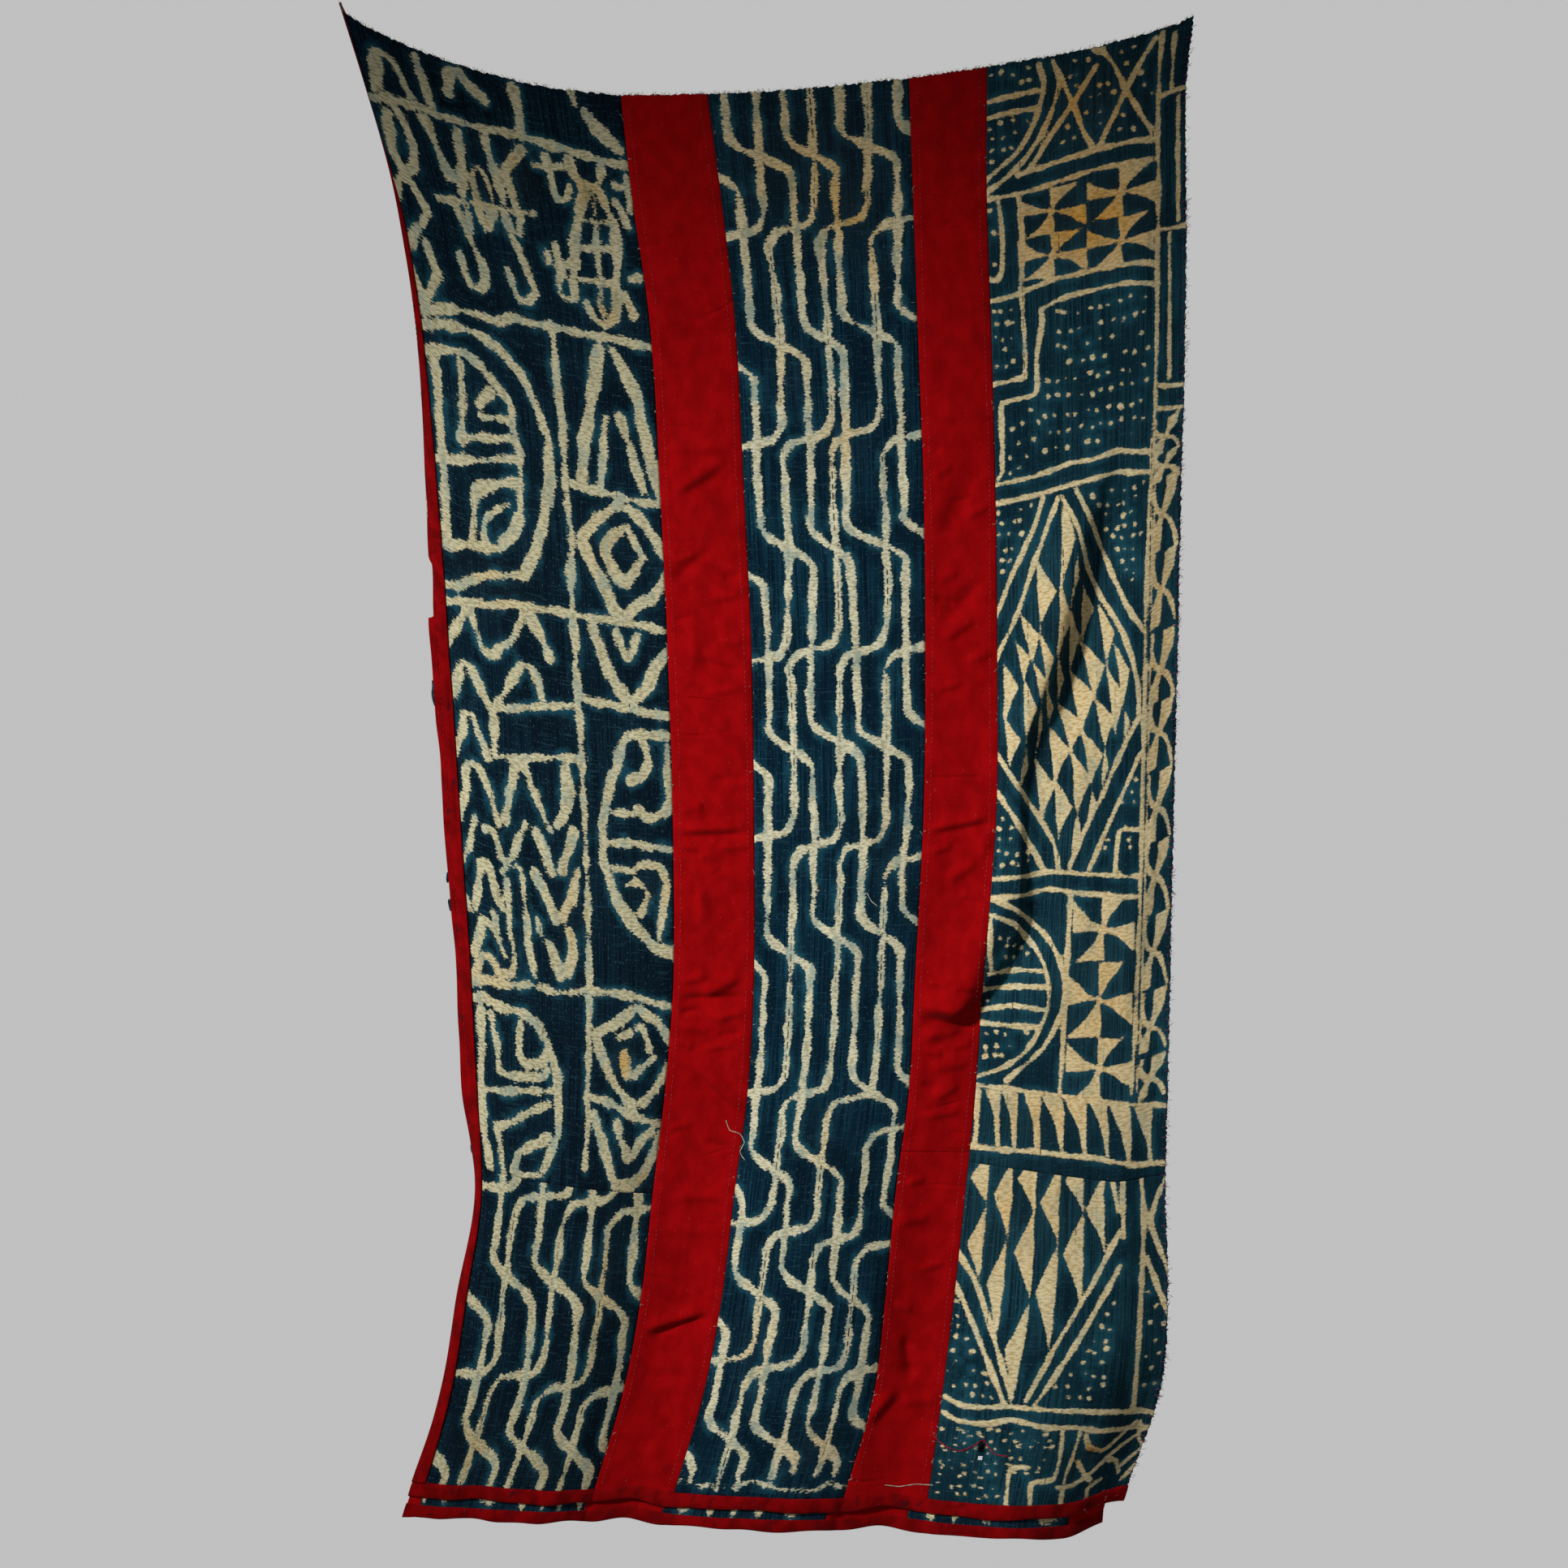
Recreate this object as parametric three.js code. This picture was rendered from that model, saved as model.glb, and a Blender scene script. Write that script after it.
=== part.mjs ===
// An ndop cloth hung by its two top corners: three indigo panels with two red strips sewn between them,
// a narrow red binding down the left edge, and a red hem band with a short bound tail showing under it.
// Sizes are millimetres. +X runs to the right, +Z up, and the front of the cloth faces -Y.
// The origin is the middle of the top edge.
import * as THREE from "three";

// Sheet thicknesses, and the gap that parts neighbouring pieces
const PANEL_THICK = 1.6;
const STRIP_THICK = 1.2;
const BINDING_THICK = 2.4;
const HEM_THICK = 4;
const GAP = 0.3;

// Flat widths in sewing order from the left edge, and the flat length from the top edge to the hem
const BINDING_WIDTH = 17;
const LEFT_PANEL_WIDTH = 275;
const LEFT_STRIP_WIDTH = 98;
const MIDDLE_PANEL_WIDTH = 212;
const RIGHT_STRIP_WIDTH = 88;
const RIGHT_PANEL_WIDTH = 232;
const LENGTH = 1670;

// Places of the cross seams down the flat cloth, at the left and right side of the pieces they join
const LEFT_CROSS_SEAM = [1310, 1314];
const RIGHT_CROSS_SEAM = [1274, 1311];
const STRIP_CROSS_SEAM = [1261, 1263];

// The levels at which the pieces bend, down the flat cloth: even steps, and two beside the right cross seams
const ROW_STEP = 40;
const LEAST_ROW = 4;
const LEVELS = [STRIP_CROSS_SEAM[1], RIGHT_CROSS_SEAM[0]];
for (let down = ROW_STEP; down < LENGTH; down += ROW_STEP) LEVELS.push(down);
LEVELS.sort((a, b) => a - b);

// The hem band, the tail that hangs behind and below it, and the binding on the tail's edge
const HEM_HEIGHT = 15;
const TAIL_TUCK = 8;
const TAIL_SHOWS = 10;
const TAIL_BINDING_HEIGHT = 13;
const TAIL_END_SHORT = 20;

// Where each piece starts across the flat cloth
const LEFT_PANEL_AT = BINDING_WIDTH;
const LEFT_STRIP_AT = LEFT_PANEL_AT + LEFT_PANEL_WIDTH;
const MIDDLE_PANEL_AT = LEFT_STRIP_AT + LEFT_STRIP_WIDTH;
const RIGHT_STRIP_AT = MIDDLE_PANEL_AT + MIDDLE_PANEL_WIDTH;
const RIGHT_PANEL_AT = RIGHT_STRIP_AT + RIGHT_STRIP_WIDTH;
const WIDTH = RIGHT_PANEL_AT + RIGHT_PANEL_WIDTH;
const SEAM_AT = [0, LEFT_PANEL_AT, LEFT_STRIP_AT, MIDDLE_PANEL_AT, RIGHT_STRIP_AT, RIGHT_PANEL_AT, WIDTH];

// A table's rows as objects with its named columns
const named = (columns, row) => Object.fromEntries(columns.map((name, k) => [name, row[k]]));
const table = (columns, rows) => rows.map((row) => named(columns, row));

// Where the seams hang: a row for each height, with the x of the left edge, of the line where each piece
// starts, and of the right edge
const SEAM_COLUMNS = ["edge", "leftPanel", "leftStrip", "middlePanel", "rightStrip", "rightPanel", "end"];
const HANG = table(["height", ...SEAM_COLUMNS], [
  [107, -506, -503, -180, -75, 165, 259, 506],
  [11, -476, -474, -174, -71, 167, 259, 495],
  [-132, -435, -433, -158, -53, 172, 259, 495],
  [-275, -412, -409, -138, -37, 177, 264, 494],
  [-466, -401, -390, -126, -27, 184, 269, 489],
  [-657, -394, -376, -117, -18, 186, 271, 485],
  [-848, -380, -363, -111, -15, 184, 270, 480],
  [-1039, -366, -350, -110, -15, 174, 255, 476],
  [-1173, -359, -343, -120, -22, 167, 246, 473],
  [-1297, -343, -337, -135, -38, 151, 234, 470],
  [-1421, -365, -355, -149, -53, 139, 221, 473],
  [-1536, -385, -374, -171, -75, 125, 207, 465],
  [-1660, -425, -409, -208, -112, 89, 190, 427],
]);

// The top edge sags in two parabolas from its lowest point, and each held corner is drawn up to a tip
const SAG_LOW = { x: -158, height: -5 };
const SAG_RISE = 76;
const SAG_LEFT_SPAN = 325;
const SAG_RIGHT_SPAN = 630;
const TIP_REACH = 26;
const LEFT_TIP_RISE = 28;
const RIGHT_TIP_RISE = 12;

// The hem line drops from left to right and lifts at its right corner
const HEM_LEFT_HEIGHT = -1640;
const HEM_RIGHT_HEIGHT = -1668;
const HEM_CORNER_LIFT = 16;
const HEM_CORNER_REACH = 70;

// Folds: each is a soft ridge (rise towards the viewer) or trough (negative) along a line down the flat
// cloth, with its own width on either side, and it fades out over a third of its run at either end
const FOLD_COLUMNS = ["name", "across", "down", "toAcross", "toDown", "left", "right", "rise"];
const FOLDS = table(FOLD_COLUMNS, [
  ["left panel belly", 150, 60, 165, 1640, 150, 130, 12],
  ["left hem crest", 200, 1250, 215, 2100, 90, 80, 10],
  ["left strip trough", 340, 1000, 337, 2300, 80, 70, -18],
  ["left strip bow", 345, 250, 345, 1250, 75, 75, 5],
  ["middle panel belly", 500, 200, 500, 2200, 110, 95, 11],
  ["right strip trough", 660, 1150, 651, 2250, 65, 60, -20],
  ["diagonal ridge", 826, 440, 716, 860, 55, 24, 13],
  ["diagonal trough", 852, 440, 742, 860, 20, 60, -12],
  ["long ridge", 722, 720, 722, 1120, 45, 22, 6],
  ["pinch ridge", 732, 900, 630, 1150, 34, 26, 9],
  ["pinch trough", 752, 960, 660, 1150, 22, 45, -8],
  ["right panel crest", 800, 1100, 790, 2200, 80, 100, 12],
  ["upper right dip", 770, -200, 745, 520, 60, 90, -7],
]);
const FOLD_FADE = 1 / 3;

// The side edges turn a little back, and the bottom right corner curls further back
const EDGE_TURN = 12;
const EDGE_REACH = 60;
const CORNER_CURL = 46;
const CORNER_REACH_ACROSS = 130;
const CORNER_REACH_DOWN = 190;

const clamp01 = (value) => Math.min(1, Math.max(0, value));
const smooth = (value) => clamp01(value) ** 2 * (3 - 2 * clamp01(value));
const mix = (a, b, share) => a + (b - a) * share;

// A smooth curve through the HANG rows for one column, by cubic Hermite pieces between neighbouring rows. The
// hem hangs a little below the last row, so the last piece runs on past its end.
const RUN_ON = 1.2;
function seamX(column, height) {
  const last = HANG.length - 1;
  let row = 0;
  while (row < last - 1 && height < HANG[row + 1].height) row += 1;
  const slope = (k) => {
    const above = HANG[Math.max(0, k - 1)];
    const below = HANG[Math.min(last, k + 1)];
    return (below[column] - above[column]) / (below.height - above.height);
  };
  const start = HANG[row];
  const end = HANG[row + 1];
  const run = end.height - start.height;
  const t = Math.min(RUN_ON, Math.max(0, (height - start.height) / run));
  const ends = start[column] * (1 + 2 * t) * (1 - t) ** 2 + end[column] * t * t * (3 - 2 * t);
  return ends + run * (slope(row) * t * (1 - t) ** 2 - slope(row + 1) * t * t * (1 - t));
}

// The piece that a place across the flat cloth falls in, and its share of the way over that piece
function pieceAt(across) {
  let piece = 0;
  while (piece < SEAM_AT.length - 2 && across > SEAM_AT[piece + 1]) piece += 1;
  return { piece, share: (across - SEAM_AT[piece]) / (SEAM_AT[piece + 1] - SEAM_AT[piece]) };
}

function acrossToX(across, height) {
  const { piece, share } = pieceAt(across);
  return mix(seamX(SEAM_COLUMNS[piece], height), seamX(SEAM_COLUMNS[piece + 1], height), share);
}

function topHeight(across) {
  const x = acrossToX(across, HANG[0].height);
  const span = x < SAG_LOW.x ? SAG_LEFT_SPAN : SAG_RIGHT_SPAN;
  const sag = SAG_LOW.height + SAG_RISE * ((x - SAG_LOW.x) / span) ** 2;
  const leftTip = LEFT_TIP_RISE * Math.exp(-across / TIP_REACH);
  const rightTip = RIGHT_TIP_RISE * Math.exp((across - WIDTH) / TIP_REACH);
  return sag + leftTip + rightTip;
}

function hemHeight(across) {
  const corner = smooth((across - WIDTH + HEM_CORNER_REACH) / HEM_CORNER_REACH);
  return mix(HEM_LEFT_HEIGHT, HEM_RIGHT_HEIGHT, across / WIDTH) + HEM_CORNER_LIFT * corner;
}

// One fold's rise at a place on the flat cloth: a bell across it, faded at both ends of its run
function foldRise(fold, across, down) {
  const run = (down - fold.down) / (fold.toDown - fold.down);
  const fade = smooth(run / FOLD_FADE) * smooth((1 - run) / FOLD_FADE);
  const off = across - mix(fold.across, fold.toAcross, run);
  const width = off < 0 ? fold.left : fold.right;
  return fold.rise * fade * Math.exp(-((off / width) ** 2));
}

// How far a place on the cloth lies behind the plane through the held corners
function depth(across, down, height) {
  const risen = FOLDS.reduce((sum, fold) => sum + foldRise(fold, across, down), 0);
  const leftTurn = 1 - smooth(across / EDGE_REACH);
  const rightTurn = 1 - smooth((WIDTH - across) / EDGE_REACH);
  const cornerAcross = smooth(1 - (WIDTH - across) / CORNER_REACH_ACROSS);
  const cornerDown = smooth(1 - (LENGTH - down) / CORNER_REACH_DOWN);
  const bindingShows = seamX("leftPanel", height) - seamX("edge", height);
  const bindingTurn = Math.sqrt(Math.max(0, BINDING_WIDTH ** 2 - bindingShows ** 2));
  const bindingBack = bindingTurn * clamp01(1 - across / BINDING_WIDTH);
  return EDGE_TURN * (leftTurn + rightTurn) + CORNER_CURL * cornerAcross * cornerDown + bindingBack - risen;
}

// A point of the flat cloth where it hangs
function hang(across, down) {
  const height = mix(topHeight(across), hemHeight(across), down / LENGTH);
  return new THREE.Vector3(acrossToX(across, height), depth(across, down, height), height);
}

// The direction out of the front of the hanging cloth, from points a short step to each side
function frontNormal(across, down) {
  const step = 2;
  const side = hang(across + step, down).sub(hang(across - step, down));
  const fall = hang(across, down + step).sub(hang(across, down - step));
  return fall.cross(side).normalize();
}

// A closed sheet over a patch of the flat cloth. columns lists its places across, rows the places down at its
// left and right sides, forward moves it along the normal, and round thins its long edges like a rolled hem.
function sheet({ columns, rows, thick, forward = 0, round = 0 }) {
  const wide = columns.length;
  const tall = rows.length;
  const count = wide * tall;
  const positions = new Float32Array(count * 2 * 3);
  const at = (column, row) => row * wide + column;
  rows.forEach(([leftDown, rightDown], row) => {
    columns.forEach((across, column) => {
      const share = (across - columns[0]) / (columns[wide - 1] - columns[0]);
      const down = mix(leftDown, rightDown, share);
      const normal = frontNormal(across, down);
      const middle = hang(across, down).addScaledVector(normal, forward);
      const half = (thick / 2) * Math.sqrt(1 - round * ((2 * row) / (tall - 1) - 1) ** 2);
      middle.clone().addScaledVector(normal, half).toArray(positions, at(column, row) * 3);
      middle.clone().addScaledVector(normal, -half).toArray(positions, (count + at(column, row)) * 3);
    });
  });
  const index = [];
  const quad = (a, b, c, d) => index.push(a, b, c, a, c, d);
  // Facing walls of neighbouring pieces are split along the same diagonal, so that they stay parted
  const wall = (a, b) => quad(a, b, b + count, a + count);
  const facingWall = (a, b) => quad(b, b + count, a + count, a);
  for (let row = 0; row < tall - 1; row += 1) {
    for (let column = 0; column < wide - 1; column += 1) {
      const corners = [at(column, row), at(column, row + 1), at(column + 1, row + 1), at(column + 1, row)];
      quad(...corners);
      quad(...corners.map((corner) => corner + count).reverse());
    }
    wall(at(0, row + 1), at(0, row));
    facingWall(at(wide - 1, row), at(wide - 1, row + 1));
  }
  for (let column = 0; column < wide - 1; column += 1) {
    wall(at(column + 1, tall - 1), at(column, tall - 1));
    facingWall(at(column, 0), at(column + 1, 0));
  }
  const geometry = new THREE.BufferGeometry();
  geometry.setAttribute("position", new THREE.BufferAttribute(positions, 3));
  geometry.setIndex(index);
  geometry.computeVertexNormals();
  return geometry;
}

// Equal steps from one place to another, ends included
const steps = (from, to, count) => Array.from({ length: count + 1 }, (_, k) => mix(from, to, k / count));

// The rows of a piece: its two ends, and between them the same levels that its neighbours use
function rowsBetween(top, bottom) {
  const above = Math.max(...top) + LEAST_ROW;
  const below = Math.min(...bottom) - LEAST_ROW;
  const between = LEVELS.filter((down) => down > above && down < below);
  return [top, ...between.map((down) => [down, down]), bottom];
}

const cotton = (color) => new THREE.MeshStandardMaterial({ color, roughness: 0.95, metalness: 0 });
const INDIGO = 0x14384e;
const RED = 0xb20a16;

// The ends of the cloth, at the left and right side of a piece
const TOP = [0, 0];
const HEM = [LENGTH, LENGTH];

// What each kind of piece shares: where it starts, its width, its columns, and how its cloth is made
const indigoCloth = { thick: PANEL_THICK, color: INDIGO };
const redCloth = { thick: STRIP_THICK, color: RED };
const BINDING = { at: 0, width: BINDING_WIDTH, columns: 2, thick: BINDING_THICK, color: RED };
const LEFT_PANEL = { at: LEFT_PANEL_AT, width: LEFT_PANEL_WIDTH, columns: 9, ...indigoCloth };
const LEFT_STRIP = { at: LEFT_STRIP_AT, width: LEFT_STRIP_WIDTH, columns: 4, ...redCloth };
const MIDDLE_PANEL = { at: MIDDLE_PANEL_AT, width: MIDDLE_PANEL_WIDTH, columns: 7, ...indigoCloth };
const RIGHT_STRIP = { at: RIGHT_STRIP_AT, width: RIGHT_STRIP_WIDTH, columns: 4, ...redCloth };
const RIGHT_PANEL = { at: RIGHT_PANEL_AT, width: RIGHT_PANEL_WIDTH, columns: 12, ...indigoCloth };
const ACROSS_THE_CLOTH = [BINDING, LEFT_PANEL, LEFT_STRIP, MIDDLE_PANEL, RIGHT_STRIP, RIGHT_PANEL];

// The cloth pieces, each with the two ends it runs between
const PIECES = [
  { name: "binding_left", ...BINDING, top: TOP, bottom: HEM },
  { name: "panel_left_upper", ...LEFT_PANEL, top: TOP, bottom: LEFT_CROSS_SEAM },
  { name: "panel_left_lower", ...LEFT_PANEL, top: LEFT_CROSS_SEAM, bottom: HEM },
  { name: "strip_left", ...LEFT_STRIP, top: TOP, bottom: HEM },
  { name: "panel_middle", ...MIDDLE_PANEL, top: TOP, bottom: HEM },
  { name: "strip_right_upper", ...RIGHT_STRIP, top: TOP, bottom: STRIP_CROSS_SEAM },
  { name: "strip_right_lower", ...RIGHT_STRIP, top: STRIP_CROSS_SEAM, bottom: HEM },
  { name: "panel_right_upper", ...RIGHT_PANEL, top: TOP, bottom: RIGHT_CROSS_SEAM },
  { name: "panel_right_lower", ...RIGHT_PANEL, top: RIGHT_CROSS_SEAM, bottom: HEM },
];

// The hem bands run the whole width: the rolled red band, the tail behind it, and the tail's own red edge
const HEM_BOTTOM = LENGTH + HEM_HEIGHT;
const TAIL_BOTTOM = HEM_BOTTOM + TAIL_SHOWS;
const TAIL_EDGE_BOTTOM = TAIL_BOTTOM + TAIL_BINDING_HEIGHT;
const TAIL_FORWARD = -(HEM_THICK + PANEL_THICK) / 2 - GAP;
const TAIL_END = WIDTH - TAIL_END_SHORT;
const ROLLED = { rows: 3, thick: HEM_THICK, round: 0.7, color: RED };
const FLAT = { rows: 1, round: 0, ...indigoCloth };
const TAIL = { end: TAIL_END, forward: TAIL_FORWARD };
const HEM_BANDS = [
  { name: "hem_band", ...ROLLED, end: WIDTH, forward: 0, top: LENGTH, bottom: HEM_BOTTOM },
  { name: "hem_tail", ...FLAT, ...TAIL, top: HEM_BOTTOM - TAIL_TUCK, bottom: TAIL_BOTTOM },
  { name: "hem_tail_binding", ...ROLLED, ...TAIL, top: TAIL_BOTTOM, bottom: TAIL_EDGE_BOTTOM },
];

const cloth = new THREE.Group();

function addPiece(name, color, patch) {
  const mesh = new THREE.Mesh(sheet(patch), cotton(color));
  mesh.name = name;
  cloth.add(mesh);
}

// Half a gap comes off each side of a piece, so that neighbours lie a whole gap apart. The binding also keeps
// clear of the panel where it turns back behind it.
const inset = (ends, by) => ends.map((down) => down + by);
for (const { name, at, width, columns, thick, color, top, bottom } of PIECES) {
  const turnRoom = name === "binding_left" ? BINDING_THICK / 2 : 0;
  addPiece(name, color, {
    columns: steps(at + GAP / 2, at + width - GAP / 2 - turnRoom, columns),
    rows: rowsBetween(inset(top, GAP / 2), inset(bottom, -GAP / 2)),
    thick,
  });
}

// The hem bands bend at the same places across as the pieces above them
const hemColumns = [0];
for (const { at, width, columns } of ACROSS_THE_CLOTH) {
  hemColumns.push(...steps(at, at + width, columns).slice(1));
}
for (const { name, end, top, bottom, rows, thick, forward, round, color } of HEM_BANDS) {
  addPiece(name, color, {
    columns: [...hemColumns.filter((across) => across < end), end],
    rows: steps(top + GAP / 2, bottom - GAP / 2, rows).map((down) => [down, down]),
    thick,
    forward,
    round,
  });
}

export default cloth;
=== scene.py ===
# %% [markdown]
# # A hung ndop cloth, step by step
# An ndop is an indigo cloth of narrow woven strips, sewn side by side, whose pale figures were stitched
# or tied off before the dye bath. This one is a hanging of three such panels with two plain red strips
# between them, a red binding down the left edge and a red hem. It hangs by its two top corners, so its
# top edge sags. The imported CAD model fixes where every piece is. This lesson dresses it: each sheet is
# worked out again from the same named sizes, much finer, and then gets its dye, its weave, its stitches
# and its loose threads.

import bpy
import numpy as np
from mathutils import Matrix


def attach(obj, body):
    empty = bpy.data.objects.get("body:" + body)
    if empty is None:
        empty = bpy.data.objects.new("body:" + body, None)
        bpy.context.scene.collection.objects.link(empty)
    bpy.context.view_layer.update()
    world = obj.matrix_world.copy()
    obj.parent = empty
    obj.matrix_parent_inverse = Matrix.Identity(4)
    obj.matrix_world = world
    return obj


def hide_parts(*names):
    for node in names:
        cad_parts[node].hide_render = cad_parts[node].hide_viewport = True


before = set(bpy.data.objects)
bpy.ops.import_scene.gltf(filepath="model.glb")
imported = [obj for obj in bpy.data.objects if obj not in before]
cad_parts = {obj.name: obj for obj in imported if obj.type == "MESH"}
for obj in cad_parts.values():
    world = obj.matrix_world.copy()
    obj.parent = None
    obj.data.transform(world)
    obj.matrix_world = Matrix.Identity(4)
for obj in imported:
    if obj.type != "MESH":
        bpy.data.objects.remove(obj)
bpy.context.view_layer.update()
MM = 0.001
print("CAD nodes:", sorted(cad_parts))

# %% [markdown]
# ## The flat cloth
# A hanging is easiest to describe flat, as it lies on the maker's floor: `across` counts millimetres from
# the left edge and `down` from the raw top edge. The seams between the pieces are then straight lines.
# These are the same widths as in the CAD model, so nothing has to be fitted to it afterwards.

# %% Sizes of the flat cloth
BINDING_WIDTH = 17
LEFT_PANEL_WIDTH = 275
LEFT_STRIP_WIDTH = 98
MIDDLE_PANEL_WIDTH = 212
RIGHT_STRIP_WIDTH = 88
RIGHT_PANEL_WIDTH = 232
LENGTH = 1670
# A hairline that keeps neighbouring pieces from sharing an edge.
GAP = 0.04
LEFT_PANEL_AT = BINDING_WIDTH
LEFT_STRIP_AT = LEFT_PANEL_AT + LEFT_PANEL_WIDTH
MIDDLE_PANEL_AT = LEFT_STRIP_AT + LEFT_STRIP_WIDTH
RIGHT_STRIP_AT = MIDDLE_PANEL_AT + MIDDLE_PANEL_WIDTH
RIGHT_PANEL_AT = RIGHT_STRIP_AT + RIGHT_STRIP_WIDTH
WIDTH = RIGHT_PANEL_AT + RIGHT_PANEL_WIDTH
SEAM_AT = np.array([
    0, LEFT_PANEL_AT, LEFT_STRIP_AT, MIDDLE_PANEL_AT, RIGHT_STRIP_AT, RIGHT_PANEL_AT, WIDTH], float)
LEFT_CROSS_SEAM = (1310, 1314)
RIGHT_CROSS_SEAM = (1274, 1311)
STRIP_CROSS_SEAM = (1261, 1263)
print("flat cloth", WIDTH, "x", LENGTH, "mm, seams at", SEAM_AT)

# %% [markdown]
# ## How it hangs
# Held by two corners, the cloth narrows towards the bottom and its seams wander. A table gives where the
# edge and each seam are at thirteen heights, and a cubic Hermite curve runs through each column. A cloth
# simulation could drape it too, but it would fold as it pleased, and here the folds have to be the ones
# that were seen.

# %% Where the seams hang
# Columns: height, then x of the left edge, the five seams and the right edge.
HANG = np.array([
    [107, -506, -503, -180, -75, 165, 259, 506],
    [11, -476, -474, -174, -71, 167, 259, 495],
    [-132, -435, -433, -158, -53, 172, 259, 495],
    [-275, -412, -409, -138, -37, 177, 264, 494],
    [-466, -401, -390, -126, -27, 184, 269, 489],
    [-657, -394, -376, -117, -18, 186, 271, 485],
    [-848, -380, -363, -111, -15, 184, 270, 480],
    [-1039, -366, -350, -110, -15, 174, 255, 476],
    [-1173, -359, -343, -120, -22, 167, 246, 473],
    [-1297, -343, -337, -135, -38, 151, 234, 470],
    [-1421, -365, -355, -149, -53, 139, 221, 473],
    [-1536, -385, -374, -171, -75, 125, 207, 465],
    [-1660, -425, -409, -208, -112, 89, 190, 427],
], float)
# How far past the last row a seam may run on, in rows.
RUN_ON = 1.2
# The top edge: its lowest place, the runs from there to the corners, its sag and the tips of the corners.
LOWEST_X = -158
LOWEST_HEIGHT = -5
LEFT_RUN = 325
RIGHT_RUN = 630
SAG = 76
LEFT_TIP = 28
RIGHT_TIP = 12
TIP_REACH = 26
# The hem: its height at the left, how far it falls to the right, and the lift of its right end.
HEM_AT_LEFT = -1640
HEM_FALL = 28
HEM_LIFT = 16
HEM_LIFT_REACH = 70


def ease(value):
    """Smooth step: 0 below 0, 1 above 1, and 3v squared minus 2v cubed between."""
    v = np.clip(value, 0, 1)
    return v * v * (3 - 2 * v)


def seam_places(height):
    """x of the edges and seams at each height: a cubic Hermite curve through every column of HANG."""
    rows, places = HANG[:, 0], HANG[:, 1:]
    slope = np.gradient(places, axis=0)
    slope[1:-1] = (places[2:] - places[:-2]) / (rows[2:] - rows[:-2])[:, None]
    slope[0] = (places[1] - places[0]) / (rows[1] - rows[0])
    slope[-1] = (places[-1] - places[-2]) / (rows[-1] - rows[-2])
    k = np.clip(np.searchsorted(-rows, -height) - 1, 0, len(rows) - 2)
    run = rows[k + 1] - rows[k]
    t = np.clip((height - rows[k]) / run, 0, RUN_ON)[..., None]
    ends = places[k] * (1 + 2 * t) * (1 - t) ** 2 + places[k + 1] * t * t * (3 - 2 * t)
    lean = slope[k] * t * (1 - t) ** 2 - slope[k + 1] * t * t * (1 - t)
    return ends + run[..., None] * lean


def across_to_x(across, height):
    """x of a flat place at a height: straight between the two seams on either side of it."""
    places = seam_places(height)
    k = np.clip(np.searchsorted(SEAM_AT, across) - 1, 0, 5)
    share = (across - SEAM_AT[k]) / (SEAM_AT[k + 1] - SEAM_AT[k])
    before = np.take_along_axis(places, k[..., None], -1)[..., 0]
    after = np.take_along_axis(places, k[..., None] + 1, -1)[..., 0]
    return before + (after - before) * share


def top_height(across):
    """Height of the top edge: a parabola either side of its lowest place, with a small tip at each corner."""
    x = across_to_x(across, np.full_like(across, HANG[0, 0]))
    run = np.where(x < LOWEST_X, LEFT_RUN, RIGHT_RUN)
    tips = LEFT_TIP * np.exp(-across / TIP_REACH) + RIGHT_TIP * np.exp((across - WIDTH) / TIP_REACH)
    return LOWEST_HEIGHT + SAG * ((x - LOWEST_X) / run) ** 2 + tips


def hem_height(across):
    """Height of the hem: a straight slope to the right, lifted over the last 70 mm."""
    lift = HEM_LIFT * ease((across - WIDTH + HEM_LIFT_REACH) / HEM_LIFT_REACH)
    return HEM_AT_LEFT - HEM_FALL * across / WIDTH + lift


print("top edge from", top_height(np.array([0.0, WIDTH])), "mm")

# %% [markdown]
# ## Folds and creases
# Depth comes from folds, each a soft ridge or trough along a line, with its own reach to either side. The
# first table is the CAD model's own. The second adds the creases that only a fine sheet can carry: the
# crisp line of the long diagonal fold, and the crumples of the red strips, all given in their own sizes.
# A bump map could fake these, but real relief takes the light from any side.

# %% Folds shared with the CAD model
# Columns: name, across and down at the start, then at the end, reach to the left and right, rise to the
# front.
FOLDS = [
    ("left panel belly", 150, 60, 165, 1640, 150, 130, 12),
    ("left hem crest", 200, 1250, 215, 2100, 90, 80, 10),
    ("left strip trough", 340, 1000, 337, 2300, 80, 70, -18),
    ("left strip bow", 345, 250, 345, 1250, 75, 75, 5),
    ("middle panel belly", 500, 200, 500, 2200, 110, 95, 11),
    ("right strip trough", 660, 1150, 651, 2250, 65, 60, -20),
    ("diagonal ridge", 826, 440, 716, 860, 55, 24, 13),
    ("diagonal trough", 852, 440, 742, 860, 20, 60, -12),
    ("long ridge", 722, 720, 722, 1120, 45, 22, 6),
    ("pinch ridge", 732, 900, 630, 1150, 34, 26, 9),
    ("pinch trough", 752, 960, 660, 1150, 22, 45, -8),
    ("right panel crest", 800, 1100, 790, 2200, 80, 100, 12),
    ("upper right dip", 770, -200, 745, 520, 60, 90, -7),
]


def fold_rise(across, down):
    """Sum of the folds: rise times a bell across the line, faded in and out over a third of the line."""
    total = np.zeros_like(across)
    for _, across0, down0, across1, down1, left, right, rise in FOLDS:
        run = (down - down0) / (down1 - down0)
        off = across - (across0 + (across1 - across0) * run)
        bell = np.exp(-(off / np.where(off < 0, left, right)) ** 2)
        total += rise * bell * ease(run * 3) * ease((1 - run) * 3)
    return total


print(len(FOLDS), "folds from the CAD model")

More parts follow.
